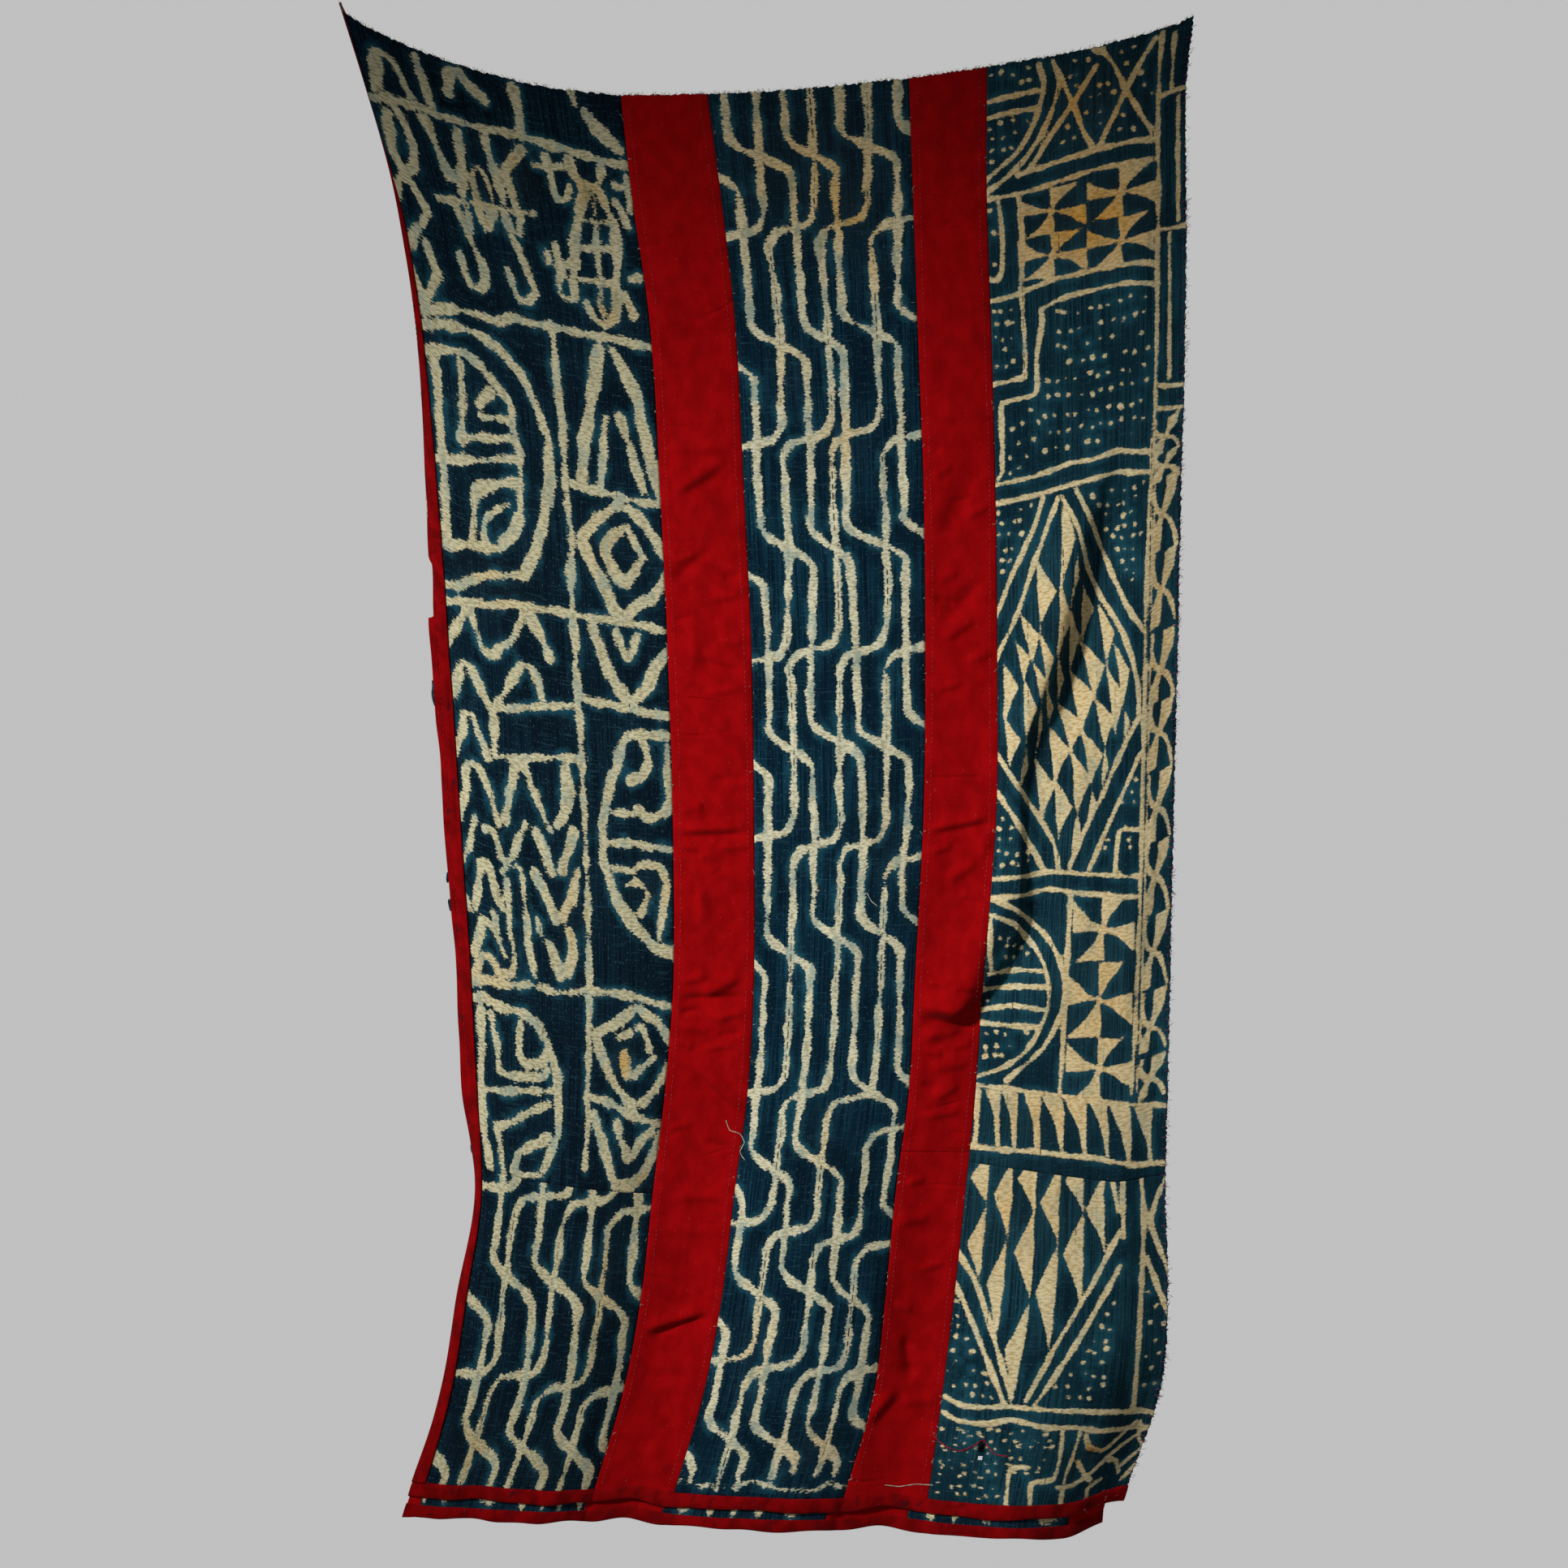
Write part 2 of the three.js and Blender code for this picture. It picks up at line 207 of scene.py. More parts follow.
# %% Creases that only the fine sheets carry
# Columns: across and down at the start and at the end, reach on the near and far side, rise to the front.
# The near side is to the right of someone who walks from start to end, as seen from the front.
RIGHT_PANEL_CREASES = [
    (800, 700, 790, 900, 20, 20, 2), (872, 1430, 880, 1640, 16, 30, 3), (705, 1572, 800, 1580, 5, 9, 2.5),
    (712, 1592, 790, 1600, 6, 6, -2), (722, 1612, 780, 1618, 6, 6, 2), (760, 1560, 840, 1578, 7, 12, 2),
    (700, 1600, 735, 1640, 5, 5, 1.6), (735, 1585, 760, 1640, 5, 6, -1.6), (748, 1590, 772, 1632, 5, 6, 1.6),
    (740, 1120, 700, 1170, 9, 12, 2.5), (860, 560, 840, 760, 14, 20, 2), (750, 300, 742, 520, 12, 18, 1.6),
]
LEFT_STRIP_CREASES = [
    (294, 262, 338, 290, 8, 12, 2), (296, 424, 386, 421, 5, 7, 1.6), (306, 476, 372, 434, 5, 9, 3),
    (312, 484, 376, 446, 9, 5, -2), (294, 588, 354, 538, 6, 8, -2.5), (358, 577, 384, 574, 5, 6, -2),
    (324, 620, 322, 698, 6, 9, 2), (322, 674, 382, 692, 6, 6, -2.5), (338, 818, 386, 816, 5, 7, -2),
    (324, 838, 324, 868, 5, 7, 1.6), (292, 879, 388, 874, 5, 8, 3), (292, 886, 388, 881, 7, 5, -2.5),
    (322, 914, 360, 921, 5, 6, -2), (324, 934, 325, 996, 5, 10, 2), (326, 1076, 376, 1050, 6, 9, 4),
    (296, 1080, 384, 1076, 6, 5, -4), (330, 1092, 360, 1110, 5, 7, 2), (325, 1156, 386, 1212, 6, 9, 3),
    (320, 1164, 378, 1218, 7, 5, -2.5), (314, 1318, 388, 1315, 6, 9, 2), (306, 1358, 388, 1355, 9, 9, 1.6),
    (302, 1479, 382, 1450, 6, 9, 3.5), (302, 1486, 382, 1457, 6, 5, -4), (312, 1484, 346, 1492, 5, 6, -2),
    (304, 1520, 388, 1518, 9, 9, 1.5), (306, 1546, 388, 1543, 9, 9, 1.5), (338, 1612, 380, 1646, 7, 9, 2.5),
]
RIGHT_STRIP_CREASES = [
    (604, 397, 686, 403, 9, 9, 1.5), (618, 552, 674, 454, 12, 14, -3), (616, 592, 646, 582, 5, 7, 2),
    (618, 648, 680, 588, 9, 11, -3.5), (618, 664, 666, 636, 6, 9, 3), (604, 883, 690, 871, 5, 8, 3),
    (604, 890, 690, 878, 7, 5, -2.5), (632, 946, 674, 920, 6, 9, 2.5), (672, 924, 682, 890, 6, 9, 2),
    (606, 1088, 692, 1104, 7, 9, 6), (606, 1102, 692, 1120, 9, 6, -6), (612, 1128, 668, 1118, 6, 8, 3),
    (622, 1163, 684, 1157, 6, 9, 2.5), (632, 1202, 670, 1180, 6, 9, 2.5), (606, 1343, 652, 1339, 6, 9, 2.5),
    (630, 1474, 650, 1534, 8, 7, -4), (600, 1582, 630, 1538, 7, 10, 4), (634, 1556, 690, 1551, 7, 8, 2.5),
]
# Small wrinkles between the larger ones, where both strips are most crumpled.
SMALL_STRIP_CREASES = [
    (300, 560, 332, 548, 4, 5, 1.4), (340, 604, 382, 596, 4, 5, 1.3), (300, 630, 324, 622, 4, 4, -1.3),
    (350, 650, 384, 656, 4, 5, 1.3), (330, 716, 380, 708, 4, 5, 1.2), (300, 856, 330, 850, 4, 4, 1.2),
    (344, 900, 386, 896, 4, 5, 1.3), (296, 904, 330, 908, 4, 4, -1.2), (298, 1060, 336, 1052, 4, 5, 1.3),
    (300, 1098, 330, 1090, 4, 4, -1.4), (340, 1102, 384, 1094, 4, 5, 1.4), (304, 1112, 340, 1118, 4, 4, 1.2),
    (346, 1124, 380, 1118, 4, 5, -1.3), (300, 1128, 322, 1140, 4, 5, 1.2), (330, 1140, 372, 1132, 4, 4, 1.1),
    (300, 1236, 330, 1228, 4, 5, 1.2), (342, 1250, 380, 1258, 4, 5, -1.2), (612, 470, 640, 458, 4, 5, 1.3),
    (650, 520, 684, 510, 4, 5, 1.3), (612, 610, 640, 622, 4, 5, -1.3), (650, 690, 684, 680, 4, 5, 1.3),
    (612, 720, 650, 712, 4, 4, 1.2), (612, 910, 640, 902, 4, 5, 1.3), (650, 960, 684, 966, 4, 5, 1.2),
    (616, 1060, 650, 1068, 4, 5, 1.5), (652, 1074, 688, 1080, 4, 5, -1.5), (616, 1140, 644, 1148, 4, 5, 1.4),
    (650, 1140, 684, 1134, 4, 5, 1.3), (616, 1180, 640, 1190, 4, 5, -1.3), (620, 1220, 676, 1214, 4, 5, 1.3),
    (612, 1300, 640, 1292, 4, 5, 1.2), (640, 1400, 676, 1392, 4, 5, 1.2), (612, 1440, 640, 1450, 4, 5, 1.2),
]


def crease_rise(across, down, creases):
    """Sum of creases: a bell on the distance from a short line, fading towards both of the line's ends."""
    total = np.zeros_like(across)
    for across0, down0, across1, down1, near, far, rise in creases:
        long = np.hypot(across1 - across0, down1 - down0)
        along_a, along_d = (across1 - across0) / long, (down1 - down0) / long
        run = ((across - across0) * along_a + (down - down0) * along_d) / long
        off = (across - across0) * along_d - (down - down0) * along_a
        bell = np.exp(-(off / np.where(off < 0, near, far)) ** 2)
        total += rise * bell * ease(run / 0.3) * ease((1 - run) / 0.3)
    return total


# The long diagonal fold: how far down, where its crest is across, and its share of the full height there.
LONG_FOLD = np.array([
    (440, 834, 0.0), (502, 822, 0.05), (570, 802, 0.3), (650, 782, 0.85), (694, 766, 1.0), (740, 742, 1.0),
    (782, 724, 1.0), (840, 716, 0.75), (920, 721, 0.55), (1004, 728, 0.7), (1056, 702, 1.0), (1086, 672, 0.9),
    (1112, 640, 0.3), (1130, 620, 0.0)])
CREST_RISE = 7
CREST_REACH = 30
DROP_REACH = 13
TROUGH_DEPTH = 8
TROUGH_REACH = 26


def long_fold(across, down):
    """One crisp fold: a slow rise on its left to the crest, then a steep drop to a trough on its right."""
    crest = np.interp(down, LONG_FOLD[:, 0], LONG_FOLD[:, 1])
    slope = np.interp(down, LONG_FOLD[:, 0], np.gradient(LONG_FOLD[:, 1], LONG_FOLD[:, 0]))
    off = (across - crest) / np.sqrt(1 + slope ** 2)
    left = CREST_RISE * np.exp(-(off / CREST_REACH) ** 2)
    drop = ease(off / DROP_REACH)
    trough = TROUGH_DEPTH * drop * np.exp(-(np.maximum(off - DROP_REACH, 0) / TROUGH_REACH) ** 2)
    right = CREST_RISE * (1 - drop) - trough
    return np.where(off < 0, left, right) * np.interp(down, LONG_FOLD[:, 0], LONG_FOLD[:, 2])


# Soft light flattens a wrinkle, so those of the strips are deepened, the small ones most.
STRIP_CREASE_DEPTH = 1.5
SMALL_CREASE_DEPTH = 2.2
DEEPENED = [
    (STRIP_CREASE_DEPTH, LEFT_STRIP_CREASES + RIGHT_STRIP_CREASES),
    (SMALL_CREASE_DEPTH, SMALL_STRIP_CREASES)]
ALL_CREASES = RIGHT_PANEL_CREASES + [
    (*crease[:6], crease[6] * deeper) for deeper, creases in DEEPENED for crease in creases]
print(len(ALL_CREASES), "creases placed by hand")

# %% [markdown]
# Hand-stitched cloth is never quite flat between its folds. Each lengthwise seam draws the cloth in to a
# shallow valley, and the cloth between ripples a little. The ripple is a sum of a few slow sine waves,
# which is cheap, smooth and the same on every run.

# %% Seam valleys and the slow ripple of the cloth
# Columns: waves in the whole width, waves in the whole length, phase, height in mm.
RIPPLES = [
    (3.1, 7.3, 0.4, 0.9), (-5.2, 9.1, 1.9, 0.7), (9.7, 4.2, 3.3, 0.6), (13.3, -11.7, 5.1, 0.45),
    (-17.9, 19.3, 2.2, 0.35), (23.1, 8.3, 0.9, 0.3), (6.1, -23.7, 4.0, 0.35), (-11.3, 31.1, 1.2, 0.25),
]


def ripple(across, down):
    """Sum of slow sine waves over the flat cloth."""
    total = np.zeros_like(across)
    for waves_across, waves_down, phase, height in RIPPLES:
        turn = waves_across * across / WIDTH + waves_down * down / LENGTH
        total += height * np.sin(2 * np.pi * turn + phase)
    return total


def seam_valley(across):
    """Minus 1.3 mm at a lengthwise seam, rising back over about 5 mm to either side."""
    gap = np.abs(across[..., None] - SEAM_AT[1:-1]).min(-1)
    return -1.3 * np.exp(-(gap / 5) ** 2)


# The side edges turn back, and the lower right corner curls back further.
TURN_REACH = 60
TURN_BACK = 12
CURL_ACROSS = 130
CURL_DOWN = 190
CURL_BACK = 46


def depth(across, down, height):
    """Distance behind the plane of the top edge: turned edges and a curled corner, less all that rises."""
    turned = 2 - ease(across / TURN_REACH) - ease((WIDTH - across) / TURN_REACH)
    curl = ease(1 - (WIDTH - across) / CURL_ACROSS) * ease(1 - (LENGTH - down) / CURL_DOWN)
    places = seam_places(height)
    shows = places[..., 1] - places[..., 0]
    wrapped = np.sqrt(np.maximum(0, BINDING_WIDTH ** 2 - shows ** 2))
    wrapped = wrapped * np.clip(1 - across / BINDING_WIDTH, 0, 1)
    fine = crease_rise(across, down, ALL_CREASES) + long_fold(across, down)
    fine = fine + ripple(across, down) + seam_valley(across)
    return TURN_BACK * turned + CURL_BACK * curl + wrapped - fold_rise(across, down) - fine


def hang(across, down, behind=0.0):
    """Points in the CAD frame, in mm, for flat places; behind moves them back along the sheet's normal."""
    across, down = np.broadcast_arrays(np.asarray(across, float), np.asarray(down, float))

    def place(a, d):
        top = top_height(a)
        height = top + (hem_height(a) - top) * d / LENGTH
        return np.stack([across_to_x(a, height), depth(a, d, height), height], -1)

    points = place(across, down)
    if np.any(behind):
        side = place(across + 2, down) - place(across - 2, down)
        fall = place(across, down + 2) - place(across, down - 2)
        front = np.cross(fall, side)
        front /= np.linalg.norm(front, axis=-1, keepdims=True)
        points = points - front * np.asarray(behind)[..., None]
    return points


print("middle of the hem hangs at", hang(WIDTH / 2, LENGTH).round(1))

# %% [markdown]
# ## Sheets on a grid
# Every piece of cloth is a grid: columns run across it and rows run down it. The hang function turns the
# whole grid into points at once, and each point keeps its flat place as a UV coordinate in metres, so
# that weave and stitches follow the cloth and not the room. A Solidify modifier then gives the sheet its
# thickness.

# %% Grid and mesh helpers
def grid(start, end, top, bottom, step_across, step_down):
    """Flat places of a sheet: rows from the line top to the line bottom, each given at its two ends."""
    columns = int(np.ceil((end - start) / step_across)) + 1
    rows = int(np.ceil((max(bottom) - min(top)) / step_down)) + 1
    share = np.linspace(0, 1, columns)
    fall = np.linspace(0, 1, rows)[:, None]
    upper = top[0] + (top[1] - top[0]) * share
    lower = bottom[0] + (bottom[1] - bottom[0]) * share
    across = np.broadcast_to(start + (end - start) * share, (rows, columns)).copy()
    return across, upper + (lower - upper) * fall


def grid_faces(rows, columns):
    """Corners of every cell, counted so that a sheet's faces look to the front."""
    k = np.arange(rows * columns).reshape(rows, columns)
    return np.stack([k[:-1, :-1], k[1:, :-1], k[1:, 1:], k[:-1, 1:]], -1).reshape(-1, 4)


def mesh_piece(name, points, faces, flat=None, attributes=None):
    """A mesh object at the origin from points in mm, with flat places as UVs and named point values."""
    mesh = bpy.data.meshes.new(name)
    mesh.from_pydata(np.asarray(points).reshape(-1, 3) * MM, [], faces.tolist())
    if flat is not None:
        corners = np.asarray(faces).reshape(-1)
        places = np.stack([flat[0].reshape(-1), -flat[1].reshape(-1)], -1) * MM
        mesh.uv_layers.new(name="flat").data.foreach_set("uv", places[corners].astype(np.float32).reshape(-1))
    for label, values in (attributes or {}).items():
        layer = mesh.attributes.new(label, "FLOAT", "POINT")
        layer.data.foreach_set("value", np.asarray(values, np.float32).reshape(-1))
    mesh.polygons.foreach_set("use_smooth", np.ones(len(mesh.polygons), bool))
    mesh.update()
    piece = bpy.data.objects.new(name, mesh)
    bpy.context.scene.collection.objects.link(piece)
    return piece


def thicken(piece, thickness):
    """Gives a sheet its thickness, half to the front and half to the back."""
    modifier = piece.modifiers.new("thickness", "SOLIDIFY")
    modifier.thickness = thickness * MM
    modifier.offset = 0
    return piece


def dress(piece, node, finish):
    """Stands a piece in for its CAD node: it rides on the one body, takes its material and hides the CAD
    node, if it has one.
    """
    piece.data.materials.append(finish)
    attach(piece, "root")
    if node:
        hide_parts(node)
    triangles = 2 * len(piece.data.polygons) * (2 if piece.modifiers else 1)
    print(piece.name, "about", triangles, "triangles")
    return piece


print("grid helpers ready, in units of", MM, "m")

# %% [markdown]
# ## Charting the resist
# A pale figure is where thread or a tie kept the dye out. Each panel gets a chart: for every point of its
# grid, how far it is from the edge of the nearest figure, below zero inside one. That is a signed
# distance, and it interpolates well over a coarse grid, where painted colours would go blocky. The
# material later turns it into a ragged edge and a teal halo. Strokes, filled patches and dots are all
# that the charts need.

# %% The chart of one panel
class Chart:
    """Signed distance in mm from the points of a panel's grid to the edge of the nearest undyed figure."""

    def __init__(self, across, down):
        self.u, self.v = across, down
        self.field = np.full(across.shape, 40.0)
        self.row_low, self.row_high = down.min(1), down.max(1)

    def near(self, points, reach):
        """The rows and columns of the grid within reach of some points."""
        low, high = np.min(points, 0) - reach, np.max(points, 0) + reach
        rows = np.flatnonzero((self.row_high > low[1]) & (self.row_low < high[1]))
        columns = np.flatnonzero((self.u[0] > low[0]) & (self.u[0] < high[0]))
        if not len(rows) or not len(columns):
            return None
        return slice(rows[0], rows[-1] + 1), slice(columns[0], columns[-1] + 1)

    def stroke(self, points, width, end_width=None):
        """A brush line: the distance to each straight bit of the path, less half of the width there."""
        path = np.asarray(points, float)
        half = np.linspace(width, width if end_width is None else end_width, len(path)) / 2
        for a, b, half_a, half_b in zip(path[:-1], path[1:], half[:-1], half[1:]):
            window = self.near([a, b], 18)
            if window is None:
                continue
            u, v = self.u[window] - a[0], self.v[window] - a[1]
            run = b - a
            t = np.clip((u * run[0] + v * run[1]) / max(run @ run, 1e-9), 0, 1)
            away = np.hypot(u - t * run[0], v - t * run[1]) - (half_a + (half_b - half_a) * t)
            self.field[window] = np.minimum(self.field[window], away)

    def patch(self, corners):
        """A filled figure: the distance to the nearest side, counted below zero inside the corners."""
        path = np.asarray(corners, float)
        window = self.near(path, 18)
        if window is None:
            return
        u, v = self.u[window], self.v[window]
        least = np.full(u.shape, np.inf)
        inside = np.zeros(u.shape, bool)
        for a, b in zip(path, np.roll(path, -1, 0)):
            run = b - a
            t = np.clip(((u - a[0]) * run[0] + (v - a[1]) * run[1]) / max(run @ run, 1e-9), 0, 1)
            least = np.minimum(least, np.hypot(u - a[0] - t * run[0], v - a[1] - t * run[1]))
            crosses = (a[1] > v) != (b[1] > v)
            rise = b[1] - a[1] if b[1] != a[1] else 1e-9
            inside ^= crosses & (u < a[0] + (v - a[1]) * run[0] / rise)
        self.field[window] = np.minimum(self.field[window], np.where(inside, -least, least))

    def clear_of(self, places, room):
        """Which places lie at least room away from every figure drawn so far."""
        keep = np.zeros(len(places), bool)
        for n, (u, v) in enumerate(places):
            row = np.argmin(np.abs(self.v[:, 0] - v))
            keep[n] = self.field[row, np.argmin(np.abs(self.u[0] - u))] > room
        return keep


def flow(points, per=5, pull=0.32):
    """A hand's curve through points: cubic Hermite bits whose slopes follow the neighbouring points."""
    p = np.asarray(points, float)
    if len(p) < 3:
        return p
    slope = np.empty_like(p)
    slope[1:-1] = (p[2:] - p[:-2]) * pull
    slope[0], slope[-1] = (p[1] - p[0]) * pull, (p[-1] - p[-2]) * pull
    t = np.linspace(0, 1, per, endpoint=False)[:, None]
    starts = p[:-1, None] * (1 + 2 * t) * (1 - t) ** 2 + p[1:, None] * t * t * (3 - 2 * t)
    leans = slope[:-1, None] * t * (1 - t) ** 2 - slope[1:, None] * t * t * (1 - t)
    return np.concatenate([(starts + leans).reshape(-1, 2), p[-1:]])


chance = np.random.default_rng(11)


def dot_field(chart, corners, pitch, row_pitch, size, room=4.0, dash=0.8):
    """Tied dots: rows with a small shake and stagger, kept inside the corners and clear of what is drawn.

    dash is how far a dot may be drawn out to either side."""
    path = np.asarray(corners, float)
    low, high = path.min(0), path.max(0)
    rows = np.arange(low[1] + row_pitch / 2, high[1], row_pitch)
    columns = np.arange(low[0] + pitch / 4, high[0], pitch)
    u = columns[None, :] + pitch * 0.3 * (np.arange(len(rows)) % 2)[:, None]
    places = np.stack([u, np.broadcast_to(rows[:, None], u.shape)], -1).reshape(-1, 2)
    places = places + chance.uniform(-0.27, 0.27, places.shape) * pitch
    places = places[chance.uniform(0, 1, len(places)) < 0.9]
    inside = np.zeros(len(places), bool)
    for a, b in zip(path, np.roll(path, -1, 0)):
        crosses = (a[1] > places[:, 1]) != (b[1] > places[:, 1])
        rise = b[1] - a[1] if b[1] != a[1] else 1e-9
        inside ^= crosses & (places[:, 0] < a[0] + (places[:, 1] - a[1]) * (b[0] - a[0]) / rise)
    places = places[inside]
    places = places[chart.clear_of(places, size / 2 + room)]
    for place in places:
        nudge = chance.uniform(0.3, 1, 2) * (dash, 0.6) * (1, chance.choice([-1, 1]))
        chart.stroke([place - nudge, place + nudge], size * chance.uniform(0.72, 1.12))
    return len(places)


print("chart helpers ready")

# %% [markdown]
# ## Wave lines that pass over each other
# The middle panel and the lower left one carry the same traditional repeat: two families of upright
# lines. One steps to the right about every 250 mm, the other hooks to the left halfway between. Drawing
# each line by hand would take hundreds of points. Instead a table says how far down each line makes each
# of its steps, and the columns that the lines rest on wander by a short table of their own.

# %% One interlace, from columns and step tables
def column_place(table, v):
    """u of a column at a distance down, straight between the rows of its table."""
    downs, places = np.array(table, float).T
    return np.interp(v, downs, places)


def wave_line(columns, steps, turn, drop):
    """Path of one line: it follows a column, slides to the next over the height turn, and goes on there.

    columns holds one table per column, and the first and last stand outside the panel. steps holds the
    distance down of each slide between neighbouring columns, or None where the line does not make it.
    drop is the share of the turn that the line falls before it leaves its column."""
    made = [k for k, step in enumerate(steps) if step is not None]
    path = []
    for k in made:
        start, end = steps[k], steps[k] + turn
        before, after = column_place(columns[k], start), column_place(columns[k + 1], end)
        if path:
            downs = np.arange(path[-1][1] + 14, start - 8, 22)
            path += [(column_place(columns[k], v), v) for v in downs]
        path += [(before, start), (before + (after - before) * 0.16, start + turn * drop)]
        path += [(before + (after - before) * 0.82, end - turn * drop * 0.9), (after, end)]
    return path, made


def interlace(chart, columns, lines, turn, drop, width, top, bottom):
    """Draws a family of wave lines, running each on to the panel's top and bottom where it stays inside."""
    for steps in lines:
        path, made = wave_line(columns, steps, turn, drop)
        first, last = made[0], made[-1] + 1
        if steps[0] is None or first > 0:
            downs = np.arange(top - 12, path[0][1] - 10, 22)
            path = [(column_place(columns[first], v), v) for v in downs] + path
        if last < len(columns) - 1:
            downs = np.arange(path[-1][1] + 14, bottom + 14, 22)
            path = path + [(column_place(columns[last], v), v) for v in downs]
        chart.stroke(flow(path, 4), width)


print("interlace ready")

# %% Tables of the middle panel
# Each column is a table of (down, across); the outermost ones lie just past the panel's sides.
STEP_COLUMNS = [
    [(0, -30), (1670, -30)],
    [(0, 16), (160, 20), (300, 18), (480, 17), (700, 20), (900, 18), (1100, 13), (1400, 12), (1670, 15)],
    [(0, 79), (270, 79), (420, 80), (600, 76), (740, 70), (900, 76), (1060, 74), (1240, 70), (1400, 73),
     (1500, 69), (1670, 74)],
    [(0, 138), (60, 137), (120, 126), (300, 125), (510, 119), (600, 125), (750, 130), (900, 137), (1150, 134),
     (1300, 138), (1420, 141), (1670, 137)],
    [(0, 200), (100, 195), (160, 196), (230, 190), (330, 187), (500, 189), (680, 188), (840, 193), (930, 188),
     (1100, 194), (1280, 198), (1450, 192), (1540, 191), (1670, 190)],
    [(0, 246), (1670, 246)],
]
# How far down each line steps onto each next column to the right.
RIGHT_STEPS = [
    (None, None, None, None, 44), (None, None, None, 50, 262), (None, None, 55, 266, 514),
    (None, 54, 272, 516, 738), (70, 276, 520, 757, 970), (296, 518, 748, 979, 1160),
    (546, 758, 980, 1166, 1318), (772, 1000, 1246, 1408, 1566), (1006, 1254, 1398, 1580, None),
    (1274, 1402, 1578, None, None), (1432, 1576, None, None, None), (1594, None, None, None, None),
]
HOOK_COLUMNS = [
    [(0, 246), (1670, 246)],
    [(0, 168), (60, 167), (140, 161), (200, 164), (400, 164), (600, 167), (660, 163), (860, 165), (1060, 167),
     (1180, 165), (1330, 168), (1480, 169), (1670, 168)],
    [(0, 107), (70, 107), (140, 102), (200, 106), (380, 107), (440, 104), (620, 107), (800, 106), (960, 109),
     (1160, 106), (1300, 110), (1440, 113), (1670, 113)],
    [(0, 50), (140, 44), (200, 48), (290, 51), (390, 47), (560, 49), (660, 43), (760, 50), (860, 49),
     (940, 49), (1160, 47), (1290, 51), (1480, 49), (1560, 48), (1670, 51)],
    [(0, -34), (1670, -34)],
]
LEFT_HOOKS = [
    (None, None, None, 146), (None, None, 140, 396), (None, 138, 390, 652), (140, 386, 640, 862),
    (394, 644, 872, 1166), (644, 872, 1166, 1322), (890, 1172, 1330, 1486), (1208, 1340, 1490, None),
    (1344, 1494, None, None), (1492, None, None, None),
]
HEM_LINE = [(-2, 1656), (14, 1654), (30, 1659), (46, 1655), (62, 1660), (76, 1655), (92, 1649), (110, 1654),
            (130, 1657), (152, 1659), (174, 1658), (186, 1650), (200, 1654), (214, 1656)]

middle_flat = grid(MIDDLE_PANEL_AT + GAP / 2, RIGHT_STRIP_AT - GAP / 2, (0, 0), (LENGTH, LENGTH), 2.4, 4.2)
middle = Chart(middle_flat[0] - MIDDLE_PANEL_AT, middle_flat[1])
interlace(middle, STEP_COLUMNS, RIGHT_STEPS, 46, 0.27, 8.8, 0, 1646)
interlace(middle, HOOK_COLUMNS, LEFT_HOOKS, 46, 0.42, 8.4, 0, 1648)
middle.stroke(flow(HEM_LINE), 4)
print("middle panel, share left undyed:", (middle.field < 0).mean().round(3))

# %% [markdown]
# The lower left panel is a short length of the same repeat, with wider columns. Only its tables are new.

# %% Tables of the lower left panel
LOWER_STEP_COLUMNS = [
    [(1300, -36), (1670, -36)],
    [(1300, 36), (1360, 33), (1400, 33), (1500, 42), (1600, 36), (1670, 28)],
    [(1300, 100), (1400, 100), (1480, 112), (1540, 116), (1600, 110), (1670, 105)],
    [(1300, 180), (1400, 182), (1480, 181), (1540, 187), (1600, 187), (1670, 186)],
    [(1300, 252), (1410, 254), (1480, 257), (1600, 263), (1670, 259)],
    [(1300, 312), (1670, 312)],
]
LOWER_RIGHT_STEPS = [
    (None, None, None, None, 1416), (None, None, None, 1416, 1606), (None, None, 1402, 1598, None),
    (None, 1404, 1598, None, None), (1430, 1596, None, None, None), (1608, None, None, None, None),
]
LOWER_HOOK_COLUMNS = [
    [(1300, 312), (1670, 312)],
    [(1300, 218), (1360, 211), (1440, 212), (1540, 214), (1590, 219), (1670, 219)],
    [(1300, 150), (1360, 137), (1440, 134), (1510, 140), (1590, 142), (1670, 134)],
    [(1300, 64), (1360, 57), (1440, 58), (1510, 63), (1600, 63), (1670, 57)],
    [(1300, -40), (1670, -40)],
]
LOWER_LEFT_HOOKS = [
    (None, None, None, 1304), (None, None, 1302, 1518), (None, 1302, 1512, None), (1308, 1522, None, None),
    (1524, None, None, None),
]
left_lower_flat = grid(
    LEFT_PANEL_AT + GAP / 2, LEFT_STRIP_AT - GAP / 2, LEFT_CROSS_SEAM, (LENGTH, LENGTH), 2.5, 3)
left_lower = Chart(left_lower_flat[0] - LEFT_PANEL_AT, left_lower_flat[1])
interlace(left_lower, LOWER_STEP_COLUMNS, LOWER_RIGHT_STEPS, 50, 0.26, 11.5, 1310, 1670)
interlace(left_lower, LOWER_HOOK_COLUMNS, LOWER_LEFT_HOOKS, 48, 0.42, 9.5, 1310, 1670)
print("lower left panel, share left undyed:", (left_lower.field < 0).mean().round(3))

# %% [markdown]
# ## Bold figures in ruled boxes
# The upper left panel is divided by rules into boxes, each with old ndop figures: crossed staffs and hooked
# sticks, a lizard with a ladder for a body, a double arc, nested lozenges and chevrons, and rows of zigzag
# strokes. They are laid out as a list of brush strokes, each a few points for the hand to run through.

